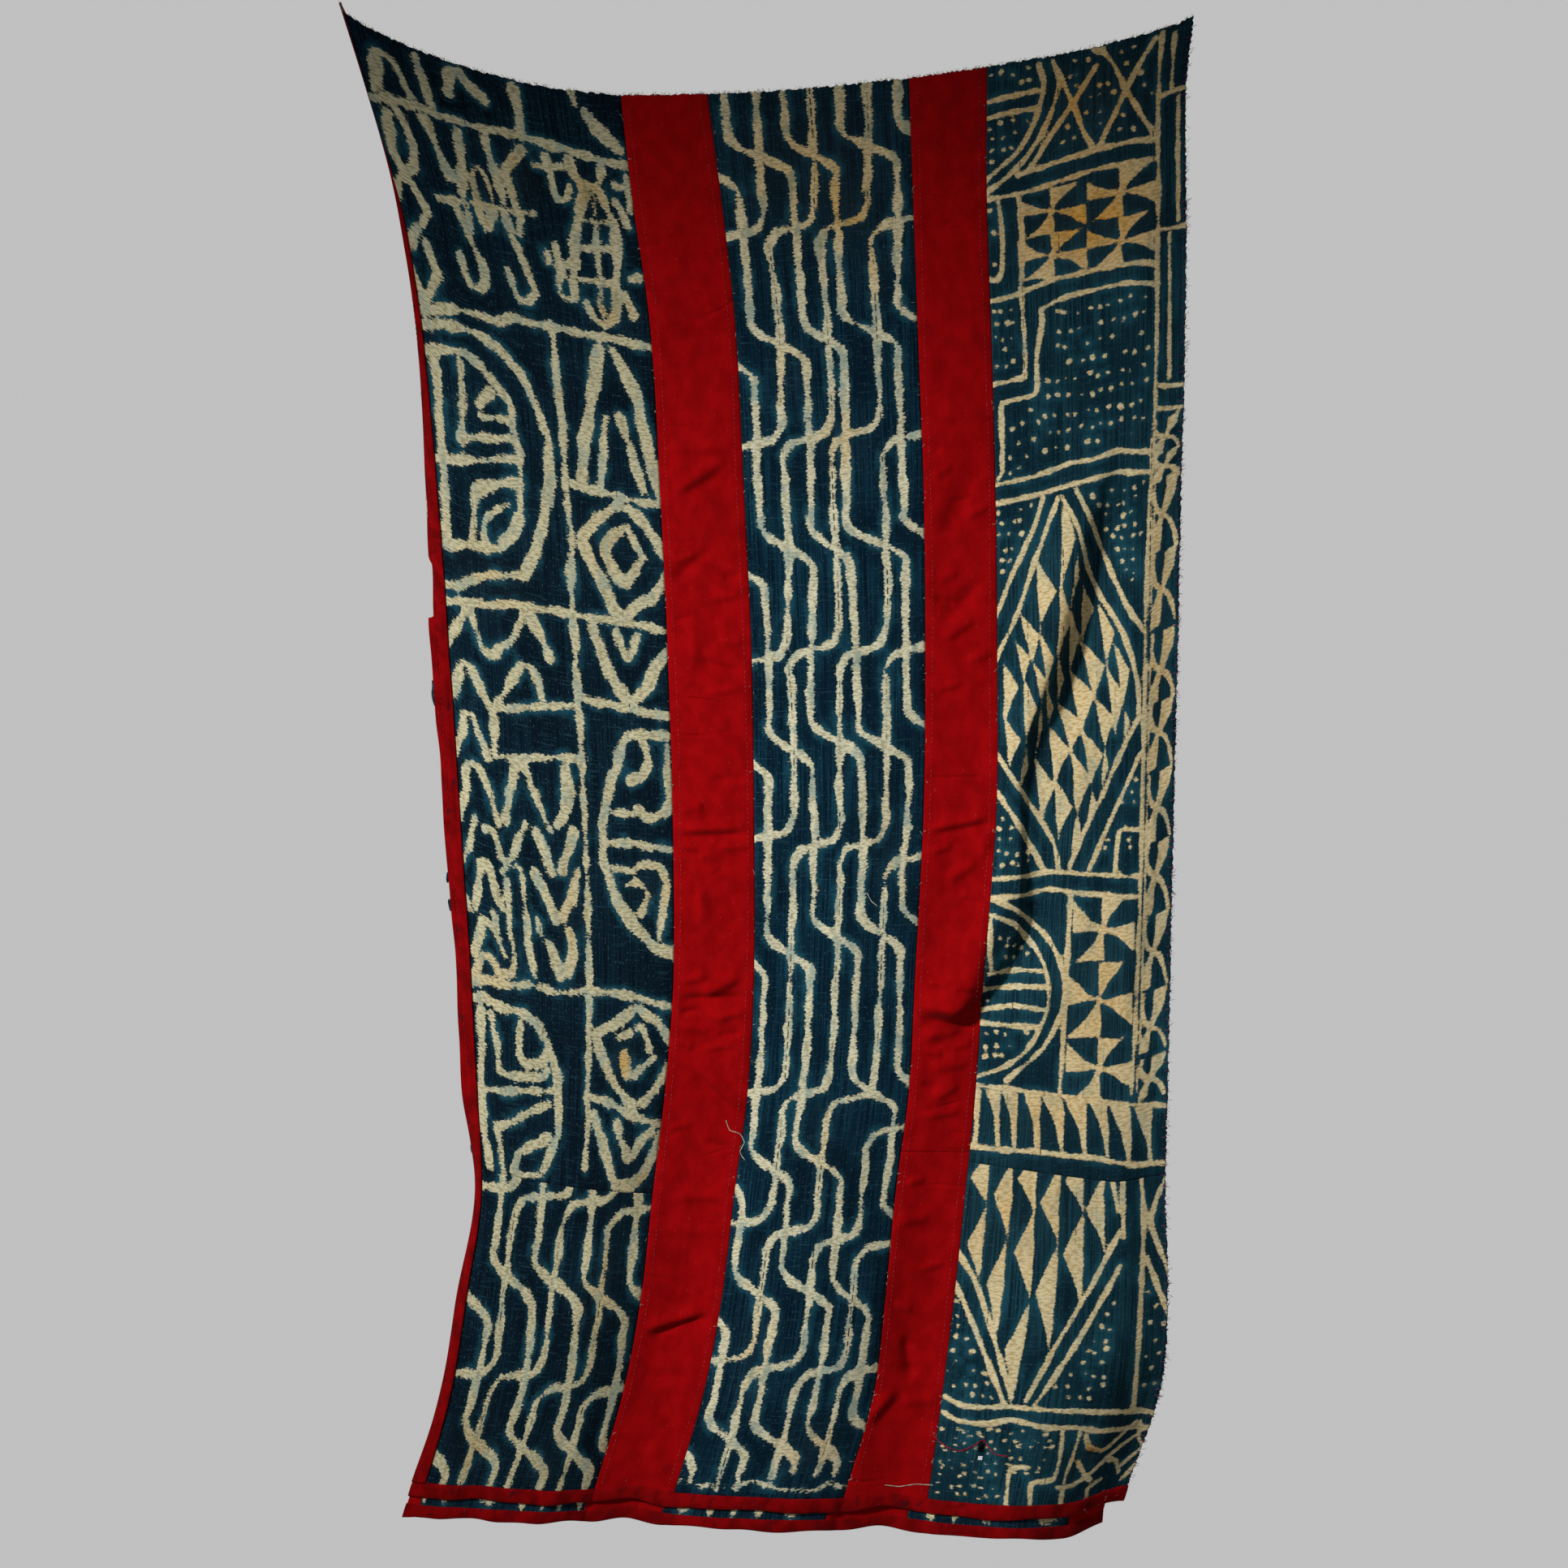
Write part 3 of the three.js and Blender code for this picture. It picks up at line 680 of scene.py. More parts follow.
# %% Rules, top teeth and the lozenge chain
RULES = [
    (10, [(-4, 98), (20, 82), (50, 73), (100, 72), (160, 67), (205, 72), (240, 80), (279, 86)]),
    (10, [(-4, 342), (25, 320), (55, 308), (95, 305), (115, 296), (160, 294), (220, 295), (279, 304)]),
    (9, [(168, 478), (210, 482), (240, 487), (279, 491)]),
    (10, [(-4, 670), (30, 655), (65, 645), (100, 637), (160, 634), (220, 634), (279, 643)]),
    (9, [(52, 769), (85, 759), (130, 747), (162, 741)]),
    (10, [(168, 733), (205, 736), (279, 743)]),
    (8, [(54, 824), (100, 815), (130, 808), (163, 804)]),
    (9, [(186, 900), (230, 898), (279, 904)]),
    (9, [(-4, 1104), (20, 1091), (50, 1090), (85, 1082), (120, 1086), (160, 1078), (220, 1080), (279, 1091)]),
    (10, [(170, 1204), (200, 1210), (230, 1222), (279, 1231)]),
    (10, [(158, 8), (160, 40), (159, 70)]),
    (9, [(158, 292), (160, 400), (161, 500), (164, 545), (160, 600), (161, 740), (162, 810)]),
    (7.5, [(162, 815), (163, 900), (162, 1000), (162, 1100), (163, 1200), (166, 1240), (164, 1288)]),
]
TOP_TEETH = [
    (9, [(7, 82), (18, 50), (22, 28), (36, 29), (46, 64)]), (10, [(62, 8), (63, 30), (65, 62)]),
    (10, [(98, 8), (92, 24), (88, 40)]), (13, [(104, 8), (112, 22), (124, 34)]),
    (9, [(219, 0), (224, 18)]), (14, [(233, 24), (246, 44), (263, 66)]),
]
LOZENGE_CHAIN = [
    (10, [(17, 100), (11, 130), (8, 152), (17, 172), (30, 206), (17, 232), (0, 266)]),
    (10, [(27, 92), (34, 122), (29, 152), (13, 176), (-3, 208)]),
    (10, [(22, 244), (29, 276), (18, 304), (6, 324)]), (9, [(-2, 284), (10, 314)]),
]
print(len(RULES + TOP_TEETH + LOZENGE_CHAIN), "strokes in rules, teeth and the chain")

# %% Staffs, hooks and the lizard
STAFFS = [
    (11, [(55, 84), (59, 112), (68, 146)]), (11, [(89, 84), (83, 120), (77, 164)]),
    (10, [(117, 82), (120, 118), (124, 158)]), (11, [(156, 82), (141, 104), (132, 118), (138, 164)]),
    (7, [(93, 166), (92, 142), (99, 122), (106, 128), (112, 158)]),
    (8, [(47, 181), (75, 172), (110, 166), (156, 160)]),
    (8, [(80, 174), (79, 204)]), (7, [(91, 176), (97, 196), (104, 184), (110, 170)]),
    (9, [(66, 180), (75, 212), (85, 242), (87, 262), (78, 273), (68, 273), (62, 260), (60, 240)]),
    (9, [(123, 166), (126, 194), (133, 216), (141, 244), (144, 256), (134, 269), (122, 268), (115, 238)]),
    (8, [(141, 166), (135, 190)]),
]
LIZARD = [
    (10, [(209, 84), (208, 100), (218, 110)]), (10, [(243, 84), (240, 104), (231, 114)]),
    (13, [(219, 112), (236, 118)]), (11, [(221, 122), (208, 158), (198, 190), (196, 214)]),
    (11, [(237, 122), (248, 152), (247, 198), (241, 232), (238, 262), (224, 279), (212, 274), (203, 258)]),
    (7, [(229, 124), (229, 156), (224, 188), (223, 228), (218, 252), (221, 272)]),
    (8, [(208, 155), (247, 155)]), (8, [(198, 191), (246, 187)]), (8, [(196, 228), (240, 228)]),
    (8, [(168, 100), (196, 96)]), (8, [(180, 86), (184, 112), (187, 136), (198, 132), (202, 116)]),
    (9, [(258, 110), (270, 112)]), (9, [(255, 130), (267, 158)]), (10, [(258, 222), (269, 219)]),
    (9, [(249, 240), (258, 266)]),
    (9, [(176, 194), (177, 224), (172, 250), (187, 254), (191, 232), (196, 214)]),
    (10, [(177, 215), (196, 211)]), (10, [(164, 203), (164, 214)]), (8, [(272, 100), (271, 140)]),
]
print(len(STAFFS + LIZARD), "strokes in the staffs and the lizard")

# %% Double arc, nested chevrons and the nested lozenge
BIG_ARC = [
    (11, [(-4, 357), (24, 338), (58, 329), (90, 336), (114, 360), (130, 394), (144, 432)]),
    (13, [(144, 436), (140, 476), (135, 510), (124, 552), (106, 594)]),
    (10, [(103, 600), (66, 611), (42, 622), (22, 640)]), (9, [(-4, 650), (14, 644)]),
    (11, [(-4, 387), (20, 370), (50, 359), (74, 372), (97, 396)]),
    (8, [(99, 398), (101, 424), (107, 462), (105, 500), (102, 530)]),
    (13, [(100, 534), (90, 556), (78, 572)]),
    (10, [(-4, 607), (30, 588), (72, 577)]), (11, [(12, 388), (14, 440), (12, 500), (11, 560), (8, 592)]),
    (9, [(43, 372), (42, 426), (36, 466)]), (9, [(38, 462), (62, 453), (100, 441)]),
    (12, [(76, 394), (64, 414)]), (9, [(66, 427), (96, 420)]), (10, [(-4, 508), (46, 485), (102, 465)]),
    (12, [(100, 492), (62, 508), (50, 518)]), (9, [(48, 520), (44, 556), (40, 580)]),
    (8, [(88, 522), (66, 540), (57, 552), (57, 572)]),
]
CHEVRON_BOX = [
    (15, [(212, 312), (203, 350), (193, 396), (184, 440), (181, 468)]),
    (14, [(227, 310), (242, 336), (254, 368), (260, 412), (267, 450), (276, 480)]),
    (10, [(214, 390), (209, 430), (204, 470)]), (11, [(229, 386), (238, 412), (246, 446), (256, 476)]),
    (14, [(222, 494), (198, 516), (176, 538)]), (15, [(176, 548), (192, 580), (205, 608), (216, 626)]),
    (13, [(236, 498), (256, 518), (278, 552)]), (14, [(278, 576), (260, 600), (238, 614), (227, 627)]),
    (12, [(230, 520), (208, 538), (202, 550)]), (12, [(203, 554), (214, 575), (226, 588)]),
    (9, [(232, 522), (242, 540), (249, 554)]), (10, [(249, 556), (238, 572), (228, 586)]),
]
CHEVRON_POINTS = [
    (14, [(183, 648), (197, 684), (211, 714), (224, 726)]),
    (14, [(279, 662), (258, 690), (246, 712), (230, 728)]),
    (10, [(213, 648), (221, 674), (228, 678), (238, 648)]),
]
print(len(BIG_ARC + CHEVRON_BOX + CHEVRON_POINTS), "strokes in the arc and the chevrons")

# %% Zigzag strokes, the looped box and the lower figures
ZIGZAGS = [
    (9, [(8, 698), (24, 668), (34, 666), (44, 702), (58, 705), (84, 676), (99, 644)]),
    (13, [(109, 650), (118, 668), (129, 690)]), (9, [(-4, 724), (8, 698), (18, 682)]),
    (10, [(-4, 786), (10, 754), (18, 728), (28, 731), (38, 750), (50, 770)]),
    (10, [(60, 762), (76, 734), (92, 708), (104, 709), (112, 724), (116, 740)]), (9, [(53, 768), (52, 824)]),
    (9, [(-4, 846), (10, 818), (15, 790), (26, 785), (34, 806), (44, 830)]),
    (9, [(2, 912), (11, 882), (16, 845), (30, 846), (42, 868), (50, 902)]),
    (9, [(60, 896), (70, 858), (76, 828), (90, 828), (97, 848), (106, 872), (119, 896)]),
    (14, [(140, 822), (142, 846), (138, 868), (126, 888)]), (9, [(-2, 964), (12, 942), (21, 906)]),
    (9, [(34, 914), (44, 912), (52, 938), (58, 946), (68, 936), (78, 910), (86, 894)]),
    (12, [(100, 902), (111, 924), (117, 946)]), (12, [(130, 942), (140, 914), (149, 892)]),
    (9, [(13, 1010), (20, 984), (25, 956), (36, 958), (42, 984), (52, 1002)]),
    (8, [(52, 958), (66, 948), (77, 950), (80, 986), (82, 1030), (89, 1074)]),
    (8, [(58, 964), (58, 1026), (62, 1052), (60, 1076)]), (12, [(93, 948), (108, 976), (119, 1000)]),
    (12, [(130, 996), (142, 968), (151, 942)]), (9, [(-3, 994), (6, 1016)]),
    (10, [(8, 1066), (19, 1040), (24, 1020), (34, 1026)]), (9, [(37, 1008), (41, 1036), (50, 1056)]),
    (13, [(108, 1030), (116, 1044), (123, 1068)]), (13, [(133, 1062), (141, 1036), (138, 1014)]),
    (9, [(-4, 1100), (11, 1080), (22, 1062), (33, 1064), (42, 1078), (56, 1074)]),
    (6, [(96, 1004), (100, 1024)]),
]
LOOPED_BOX = [
    (12, [(279, 768), (232, 767), (217, 776), (206, 806), (194, 842), (184, 880)]),
    (11, [(240, 776), (246, 796), (240, 814), (222, 824)]), (10, [(270, 778), (272, 852)]),
    (8, [(198, 862), (222, 863)]), (12, [(230, 856), (244, 866), (262, 860), (271, 846)]),
    (9, [(185, 888), (184, 924), (190, 942)]),
    (15, [(192, 946), (204, 972), (226, 998), (250, 1020), (279, 1027)]),
    (9, [(200, 930), (222, 930), (232, 922), (258, 924), (266, 942), (262, 976), (255, 1008)]),
    (8, [(214, 948), (230, 944), (241, 958), (231, 982)]),
]
LOWER_FIGURES = [
    (12, [(-4, 1119), (20, 1112), (46, 1117), (72, 1118), (92, 1130), (106, 1150), (119, 1182)]),
    (12, [(120, 1186), (122, 1222), (122, 1254), (110, 1276), (99, 1296)]),
    (11, [(12, 1126), (12, 1170), (8, 1222), (8, 1262), (15, 1306)]),
    (9, [(28, 1128), (33, 1160), (38, 1190), (62, 1193), (98, 1189), (106, 1180)]),
    (11, [(67, 1130), (65, 1164), (76, 1175), (95, 1172), (103, 1160)]),
    (9, [(2, 1219), (40, 1213), (80, 1207), (116, 1202)]),
    (10, [(108, 1218), (80, 1232), (54, 1246), (31, 1256)]), (10, [(29, 1262), (35, 1290), (38, 1316)]),
    (11, [(108, 1258), (80, 1272), (60, 1282), (52, 1302)]), (6, [(56, 1308), (98, 1303)]),
    (13, [(219, 1100), (196, 1114), (172, 1130)]), (13, [(174, 1136), (194, 1176), (214, 1198), (228, 1210)]),
    (13, [(228, 1094), (252, 1106), (279, 1132)]), (14, [(279, 1162), (262, 1186), (245, 1206)]),
    (9, [(206, 1130), (219, 1124)]), (15, [(213, 1150), (218, 1174)]),
    (9, [(230, 1116), (240, 1122), (249, 1142)]),
    (9, [(256, 1152), (238, 1164), (230, 1174)]), (13, [(174, 1224), (186, 1252), (200, 1276), (208, 1296)]),
    (15, [(214, 1304), (238, 1305), (256, 1288), (270, 1262), (279, 1240)]),
    (13, [(210, 1230), (218, 1254), (229, 1272)]), (12, [(262, 1238), (250, 1250), (239, 1268)]),
]

left_upper_flat = grid(LEFT_PANEL_AT + GAP / 2, LEFT_STRIP_AT - GAP / 2, (0, 0), LEFT_CROSS_SEAM, 3, 3)
left_upper = Chart(left_upper_flat[0] - LEFT_PANEL_AT, left_upper_flat[1])
FIGURES = [RULES, TOP_TEETH, LOZENGE_CHAIN, STAFFS, LIZARD, BIG_ARC, CHEVRON_BOX, CHEVRON_POINTS, ZIGZAGS,
           LOOPED_BOX, LOWER_FIGURES]
for figure in FIGURES:
    for width, points in figure:
        left_upper.stroke(flow(points), width)
print("upper left panel, share left undyed:", (left_upper.field < 0).mean().round(3))

# %% [markdown]
# ## Fine figures, dots and leaves
# The right panel is finer work: thin golden lines, tied dots, pinwheels, saw teeth and lozenges filled
# with leaves. Each kind of figure is a small function, because it comes back many times: a pinwheel is
# four filled blades about a centre, and a leaf chain is a string of filled leaves that all bulge to one
# side.

# %% Pinwheels, leaf chains, saw teeth and the vine
def pinwheel(chart, u, v, half_width, half_height):
    """Four blades about a centre: each widens to an outer edge that runs from its axis to the next corner."""
    w, h = half_width, half_height
    rim = [
        [(-0.06, -1), (0.9, -1)], [(1, -0.08), (1, 0.9)],
        [(0.06, 1), (-0.9, 1)], [(-1, 0.08), (-1, -0.9)],
    ]
    for near, far in rim:
        a, b = np.array(near) * (w, h), np.array(far) * (w, h)
        b = a + (b - a) * chance.uniform(0.8, 1.1)
        hollow, waist = b * 0.66 + a * 0.06, b * 0.34 + a * 0.1
        belly = a * 0.55 - b * chance.uniform(-0.02, 0.06)
        corners = np.array([-a * 0.04, belly, a, b, hollow, waist])
        chart.patch(corners + (u, v))
    chart.stroke([(u - 1, v - 1), (u + 1, v + 1)], 8)


def leaf_chain(chart, nodes, bulges):
    """Leaves strung between nodes: one side runs nearly straight, the other swells to its bulge at 0.45."""
    for (u0, v0), (u1, v1), bulge in zip(nodes[:-1], nodes[1:], bulges):
        share = np.array([0, 0.22, 0.45, 0.7, 0.88, 1])
        full = np.array([0.05, 0.52, 1.0, 0.5, 0.16, 0.04]) * bulge
        hollow = np.array([0.02, 0.03, 0.03, 0.04, 0.04, 0.02]) * bulge
        u, v = u0 + (u1 - u0) * share, v0 + (v1 - v0) * share
        swollen = np.stack([u + full, v], -1)
        straight = np.stack([u - hollow, v], -1)
        chart.patch(np.concatenate([swollen, straight[::-1]]))


def saw_tooth(chart, left, right, top, tip_u, tip_v):
    """A tooth that hangs from a rule: a wide top edge, a long left side and a tip at the lower right."""
    knee = left + (tip_u - left) * 0.66
    chart.patch([(left, top), (right, top + 4), (tip_u + 2, tip_v), (tip_u - 2, tip_v), (knee, top + 36)])


def vine_knot(chart, u, v, rise, fall):
    """One crossing of the border's vine: a leaf up to the right, one down to the left, and two stems."""
    chart.patch([(u - 2, v), (u + 2, v - rise * 0.55), (u + 3, v - rise), (u + 19, v - rise - 3),
                 (u + 15, v - rise * 0.5), (u + 4, v)])
    chart.patch([(u + 2, v), (u - 1, v + fall * 0.5), (u - 2, v + fall), (u - 16, v + fall + 3),
                 (u - 13, v + fall * 0.5), (u - 4, v)])
    lower_stem = [(u, v), (u + 9, v + fall * 0.22), (u + 15, v + fall * 0.62), (u + 18, v + fall)]
    chart.stroke(flow(lower_stem), 7, 4)
    chart.stroke(flow([(u, v), (u - 8, v - rise * 0.2), (u - 12, v - rise * 0.6), (u - 10, v - rise)]), 7, 4)


print("fine figure functions ready")

# %% Rules, arcs and lattices of the upper right panel
LINE = 6
UPPER_LINES = [
    [(-3, 41), (30, 38), (60, 37)], [(-3, 60), (30, 57), (60, 57)],
    [(60, 8), (66, 28), (62, 54), (50, 84), (34, 106), (-3, 133)],
    [(76, 6), (84, 30), (78, 58), (64, 88), (44, 114), (20, 134), (-3, 148)],
    [(126, 22), (104, 54), (76, 90), (50, 126)], [(78, 10), (100, 60), (112, 94), (124, 117)],
    [(132, 4), (146, 26), (162, 60), (184, 100), (197, 122)],
    [(191, 8), (176, 32), (160, 62), (142, 94), (130, 117)],
    [(122, 2), (138, 14)], [(36, 131), (80, 124), (130, 119), (170, 119), (198, 125)],
    [(-3, 155), (40, 153), (85, 146), (130, 141), (170, 143), (198, 147)],
    [(13, 157), (17, 200), (15, 236), (9, 249), (-3, 246)], [(37, 158), (40, 200), (38, 250)],
    [(37, 262), (38, 300), (40, 340), (39, 366)], [(-3, 370), (20, 368), (38, 366)],
    [(-3, 273), (22, 271), (45, 265), (75, 258), (130, 256), (165, 257), (196, 265)],
    [(60, 290), (85, 281), (130, 278), (165, 279), (198, 290)],
    [(60, 290), (60, 312), (53, 345), (53, 382), (44, 389), (11, 393), (9, 412), (9, 470), (4, 480)],
    [(-3, 487), (30, 484), (60, 480), (92, 473), (120, 473), (152, 467), (192, 478)],
    [(-3, 509), (40, 505), (80, 500), (112, 496), (152, 492), (190, 500)],
    [(-3, 945), (40, 944), (75, 941), (110, 946), (150, 951), (190, 958)],
    [(-3, 967), (40, 966), (75, 961), (110, 968), (150, 974), (190, 982)],
    [(185, 905), (161, 902), (157, 948)], [(102, 968), (102, 1080), (101, 1196)],
    [(-3, 1184), (40, 1190), (80, 1197), (130, 1205), (170, 1212), (200, 1222), (236, 1234)],
    [(-3, 1255), (40, 1261), (75, 1263), (110, 1268), (150, 1273), (175, 1280), (200, 1290), (236, 1298)],
]
LOZENGE_LINES = [
    [(59, 509), (45, 546), (26, 580), (-3, 642)], [(78, 510), (60, 552), (45, 588), (25, 640), (-3, 692)],
    [(100, 505), (119, 546), (140, 592), (164, 644), (188, 682)],
    [(82, 510), (101, 548), (113, 592), (136, 636), (156, 668), (171, 704), (181, 746), (182, 772)],
    [(181, 778), (160, 812), (140, 852), (116, 896), (98, 938)],
    [(185, 818), (160, 866), (140, 906), (124, 942)],
    [(-3, 797), (25, 838), (50, 870), (75, 906), (84, 938)], [(-3, 840), (25, 878), (50, 915), (68, 942)],
]
ARC_LINES = [
    [(-3, 967), (30, 980), (54, 997), (76, 1017), (92, 1042), (100, 1070), (100, 1098), (91, 1122),
     (78, 1144), (58, 1162), (36, 1180)],
    [(-3, 984), (34, 1000), (60, 1026), (75, 1050), (82, 1076), (81, 1100), (70, 1128), (54, 1150),
     (28, 1166), (-3, 1176)],
    [(2, 988), (5, 1028), (9, 1056)], [(6, 1055), (40, 1053), (77, 1056)],
    [(-3, 1073), (40, 1072), (78, 1074)],
    [(-3, 1098), (40, 1094), (80, 1101)], [(-3, 1112), (40, 1117), (70, 1120)],
]
BORDER_LINES = [
    [(198, 4), (199, 60), (199, 125), (198, 220), (197, 300), (196, 420), (194, 480), (192, 540), (189, 640),
     (189, 740), (189, 860), (190, 960), (190, 1060), (189, 1140), (187, 1206)],
    [(212, 10), (215, 72)], [(200, 78), (218, 77), (236, 82)], [(223, 86), (222, 226)],
    [(200, 228), (236, 238)],
    [(212, 236), (212, 320), (213, 402)], [(200, 405), (216, 411), (236, 418)], [(200, 432), (236, 443)],
]
SECOND_BORDER_RULE = [
    (198, 480), (198, 540), (195, 640), (195, 740), (195, 860), (196, 960), (196, 1060), (195, 1140),
    (193, 1206)]
print(len(UPPER_LINES + LOZENGE_LINES + ARC_LINES + BORDER_LINES) + 1, "lines in the upper right panel")

# %% Leaves, pinwheels, teeth and dots of the upper right panel
UPPER_LEAVES = [
    ([(83, 514), (80, 615), (76, 695), (78, 748), (96, 806), (104, 878), (100, 928)],
     [17, 14, 11, 26, 23, 9]),
    ([(100, 578), (91, 642), (94, 711), (109, 783), (122, 846), (119, 892)], [7, 14, 26, 22, 10]),
    ([(108, 612), (109, 681), (126, 748), (139, 803), (133, 862)], [15, 22, 20, 8]),
    ([(130, 640), (141, 714), (152, 792)], [15, 18]), ([(149, 687), (163, 760), (163, 802)], [14, 9]),
    ([(50, 580), (54, 665), (62, 732), (66, 772), (75, 838), (82, 906)], [21, 13, 8, 24, 20]),
    ([(30, 640), (45, 698), (55, 747), (48, 808), (60, 882)], [16, 13, 6, 22]),
    ([(22, 670), (34, 718), (35, 792), (27, 846)], [14, 14, 8]), ([(8, 695), (9, 760), (15, 816)], [19, 17]),
]
TEETH = [
    (-8, 7, 1186, 5, 1254), (10, 30, 1188, 32, 1258), (32, 51, 1191, 52, 1260), (56, 78, 1194, 79, 1262),
    (80, 105, 1198, 108, 1267), (107, 133, 1203, 135, 1270), (137, 158, 1208, 162, 1273),
    (160, 187, 1212, 187, 1282), (190, 213, 1222, 213, 1291),
]
right_upper_flat = grid(RIGHT_PANEL_AT + GAP / 2, WIDTH, (0, 0), RIGHT_CROSS_SEAM, 2.6, 2.7)
right_upper = Chart(right_upper_flat[0] - RIGHT_PANEL_AT, right_upper_flat[1])
for line in UPPER_LINES + LOZENGE_LINES + ARC_LINES:
    right_upper.stroke(flow(line), LINE)
for line in BORDER_LINES:
    right_upper.stroke(flow(line), 5)
right_upper.stroke(flow(SECOND_BORDER_RULE), 2.4)
for nodes, bulges in UPPER_LEAVES:
    leaf_chain(right_upper, nodes, bulges)
for u, v, half_width, half_height in [
        (75, 179, 40, 27), (156, 173, 40, 27), (75, 230, 40, 25), (155, 229, 40, 27),
        (145, 1012, 39, 36), (144, 1093, 41, 42), (147, 1171, 41, 34)]:
    pinwheel(right_upper, u, v, half_width, half_height)
for tooth in TEETH:
    saw_tooth(right_upper, *tooth)
# Columns: how far down each crossing of the vine is, and how far its leaves reach up and down.
VINE_KNOTS = [
    (466, 20, 18), (500, 16, 16), (555, 42, 40), (640, 42, 40), (732, 44, 34), (802, 34, 40), (888, 40, 36),
    (965, 36, 42), (1051, 40, 40), (1137, 40, 26), (1196, 24, 20)]
for v, rise, fall in VINE_KNOTS:
    vine_knot(right_upper, 209, v, rise, fall)
# Columns: the corners of the field, and how far apart its dots are across and down.
DOT_FIELDS = [
    ([(2, 4), (64, 4), (64, 34), (2, 34)], 14, 15),
    ([(2, 62), (56, 62), (30, 104), (2, 122)], 13, 15),
    ([(88, 6), (194, 6), (194, 118), (60, 118), (100, 60)], 13, 15),
    ([(2, 160), (10, 160), (10, 240), (2, 240)], 13, 15),
    ([(0, 278), (34, 278), (34, 362), (0, 362)], 11, 15.5),
    ([(66, 288), (194, 294), (190, 472), (60, 474), (60, 392)], 13, 19.5),
    ([(12, 398), (60, 394), (60, 476), (12, 476)], 15, 17.5),
    ([(2, 512), (54, 512), (2, 630)], 12, 14),
    ([(108, 506), (188, 506), (188, 672), (172, 640)], 12, 13.5),
    ([(2, 852), (58, 940), (2, 940)], 12.5, 14),
    ([(184, 826), (186, 898), (148, 898)], 12, 13),
    ([(160, 906), (186, 906), (186, 952), (160, 952)], 11.5, 12.5),
    ([(157, 890), (157, 946), (128, 946)], 11.5, 12.5),
    ([(8, 994), (70, 1030), (76, 1050), (10, 1050)], 12, 12.5),
    ([(2, 1076), (80, 1076), (80, 1094), (2, 1094)], 14, 14),
    ([(2, 1118), (68, 1122), (40, 1156), (2, 1166)], 12.5, 13.5),
]
dots = 0
for corners, pitch, row_pitch in DOT_FIELDS:
    dots += dot_field(right_upper, corners, pitch, row_pitch, 4.8, 2.6)
print("upper right panel:", dots, "dots, share left undyed:", (right_upper.field < 0).mean().round(3))

# %% The lower right panel
LOWER_LINES = [
    [(-3, 1378), (20, 1412), (40, 1460), (56, 1504), (72, 1546)],
    [(-3, 1412), (20, 1456), (42, 1504), (66, 1554)],
    [(178, 1358), (160, 1390), (138, 1434), (110, 1490), (88, 1548)],
    [(177, 1398), (154, 1442), (128, 1494), (97, 1554)],
    [(202, 1298), (206, 1350), (203, 1400), (200, 1500), (205, 1572)],
    [(234, 1308), (214, 1358), (234, 1422)], [(208, 1398), (222, 1440), (234, 1468)],
    [(167, 1288), (176, 1336)], [(180, 1292), (182, 1366)],
    [(4, 1549), (25, 1558), (75, 1556), (130, 1560), (170, 1563), (200, 1572), (236, 1584)],
    [(4, 1567), (20, 1575), (50, 1576), (78, 1571), (110, 1578), (150, 1580), (182, 1588), (236, 1602)],
]
CORNER_LINES = [
    [(90, 1676), (87, 1650), (85, 1628), (106, 1625)],
    [(118, 1672), (113, 1643), (137, 1638), (137, 1604), (133, 1580)],
    [(153, 1582), (152, 1612), (150, 1640), (154, 1672)],
    [(160, 1588), (168, 1604), (186, 1612), (200, 1602), (214, 1590)],
    [(236, 1596), (216, 1610), (196, 1622), (178, 1638), (160, 1648), (144, 1648)],
    [(160, 1620), (172, 1636), (182, 1646)], [(192, 1624), (206, 1634), (214, 1650)],
    [(219, 1592), (224, 1612), (232, 1624), (214, 1642)], [(184, 1668), (182, 1656), (194, 1650)],
    [(240, 1600), (238, 1626), (230, 1648), (220, 1660)],
]
LOWER_LEAVES = [
    ([(22, 1262), (25, 1326), (25, 1418)], [-20, -17]), ([(52, 1270), (52, 1362), (49, 1482)], [-20, -17]),
    ([(79, 1262), (80, 1332), (81, 1436), (72, 1556)], [-22, -21, -18]),
    ([(107, 1280), (108, 1372), (105, 1488)], [-21, -21]),
    ([(133, 1266), (136, 1336), (136, 1438)], [-21, -22]), ([(159, 1290), (160, 1378)], [-20]),
]
LOWER_DOT_FIELDS = [
    ([(2, 1432), (60, 1552), (2, 1552)], 12, 13.5), ([(174, 1418), (174, 1558), (102, 1558)], 12, 13.5),
    ([(208, 1430), (228, 1470), (228, 1570), (208, 1570)], 15, 18),
]
CRINKLED_FIELD = [(4, 1580), (130, 1582), (126, 1634), (80, 1640), (78, 1668), (4, 1668)]
right_lower_flat = grid(RIGHT_PANEL_AT + GAP / 2, WIDTH, RIGHT_CROSS_SEAM, (LENGTH, LENGTH), 2.5, 2.5)
right_lower = Chart(right_lower_flat[0] - RIGHT_PANEL_AT, right_lower_flat[1])
for line in LOWER_LINES:
    right_lower.stroke(flow(line), LINE)
for line in CORNER_LINES:
    right_lower.stroke(flow(line), 5)
for nodes, bulges in LOWER_LEAVES:
    leaf_chain(right_lower, nodes, bulges)
dots = dot_field(right_lower, CRINKLED_FIELD, 12, 9.5, 2.7, 2.2, 1.9)
for corners, pitch, row_pitch in LOWER_DOT_FIELDS:
    dots += dot_field(right_lower, corners, pitch, row_pitch, 4.4, 2.2)
print("lower right panel:", dots, "dots, share left undyed:", (right_lower.field < 0).mean().round(3))

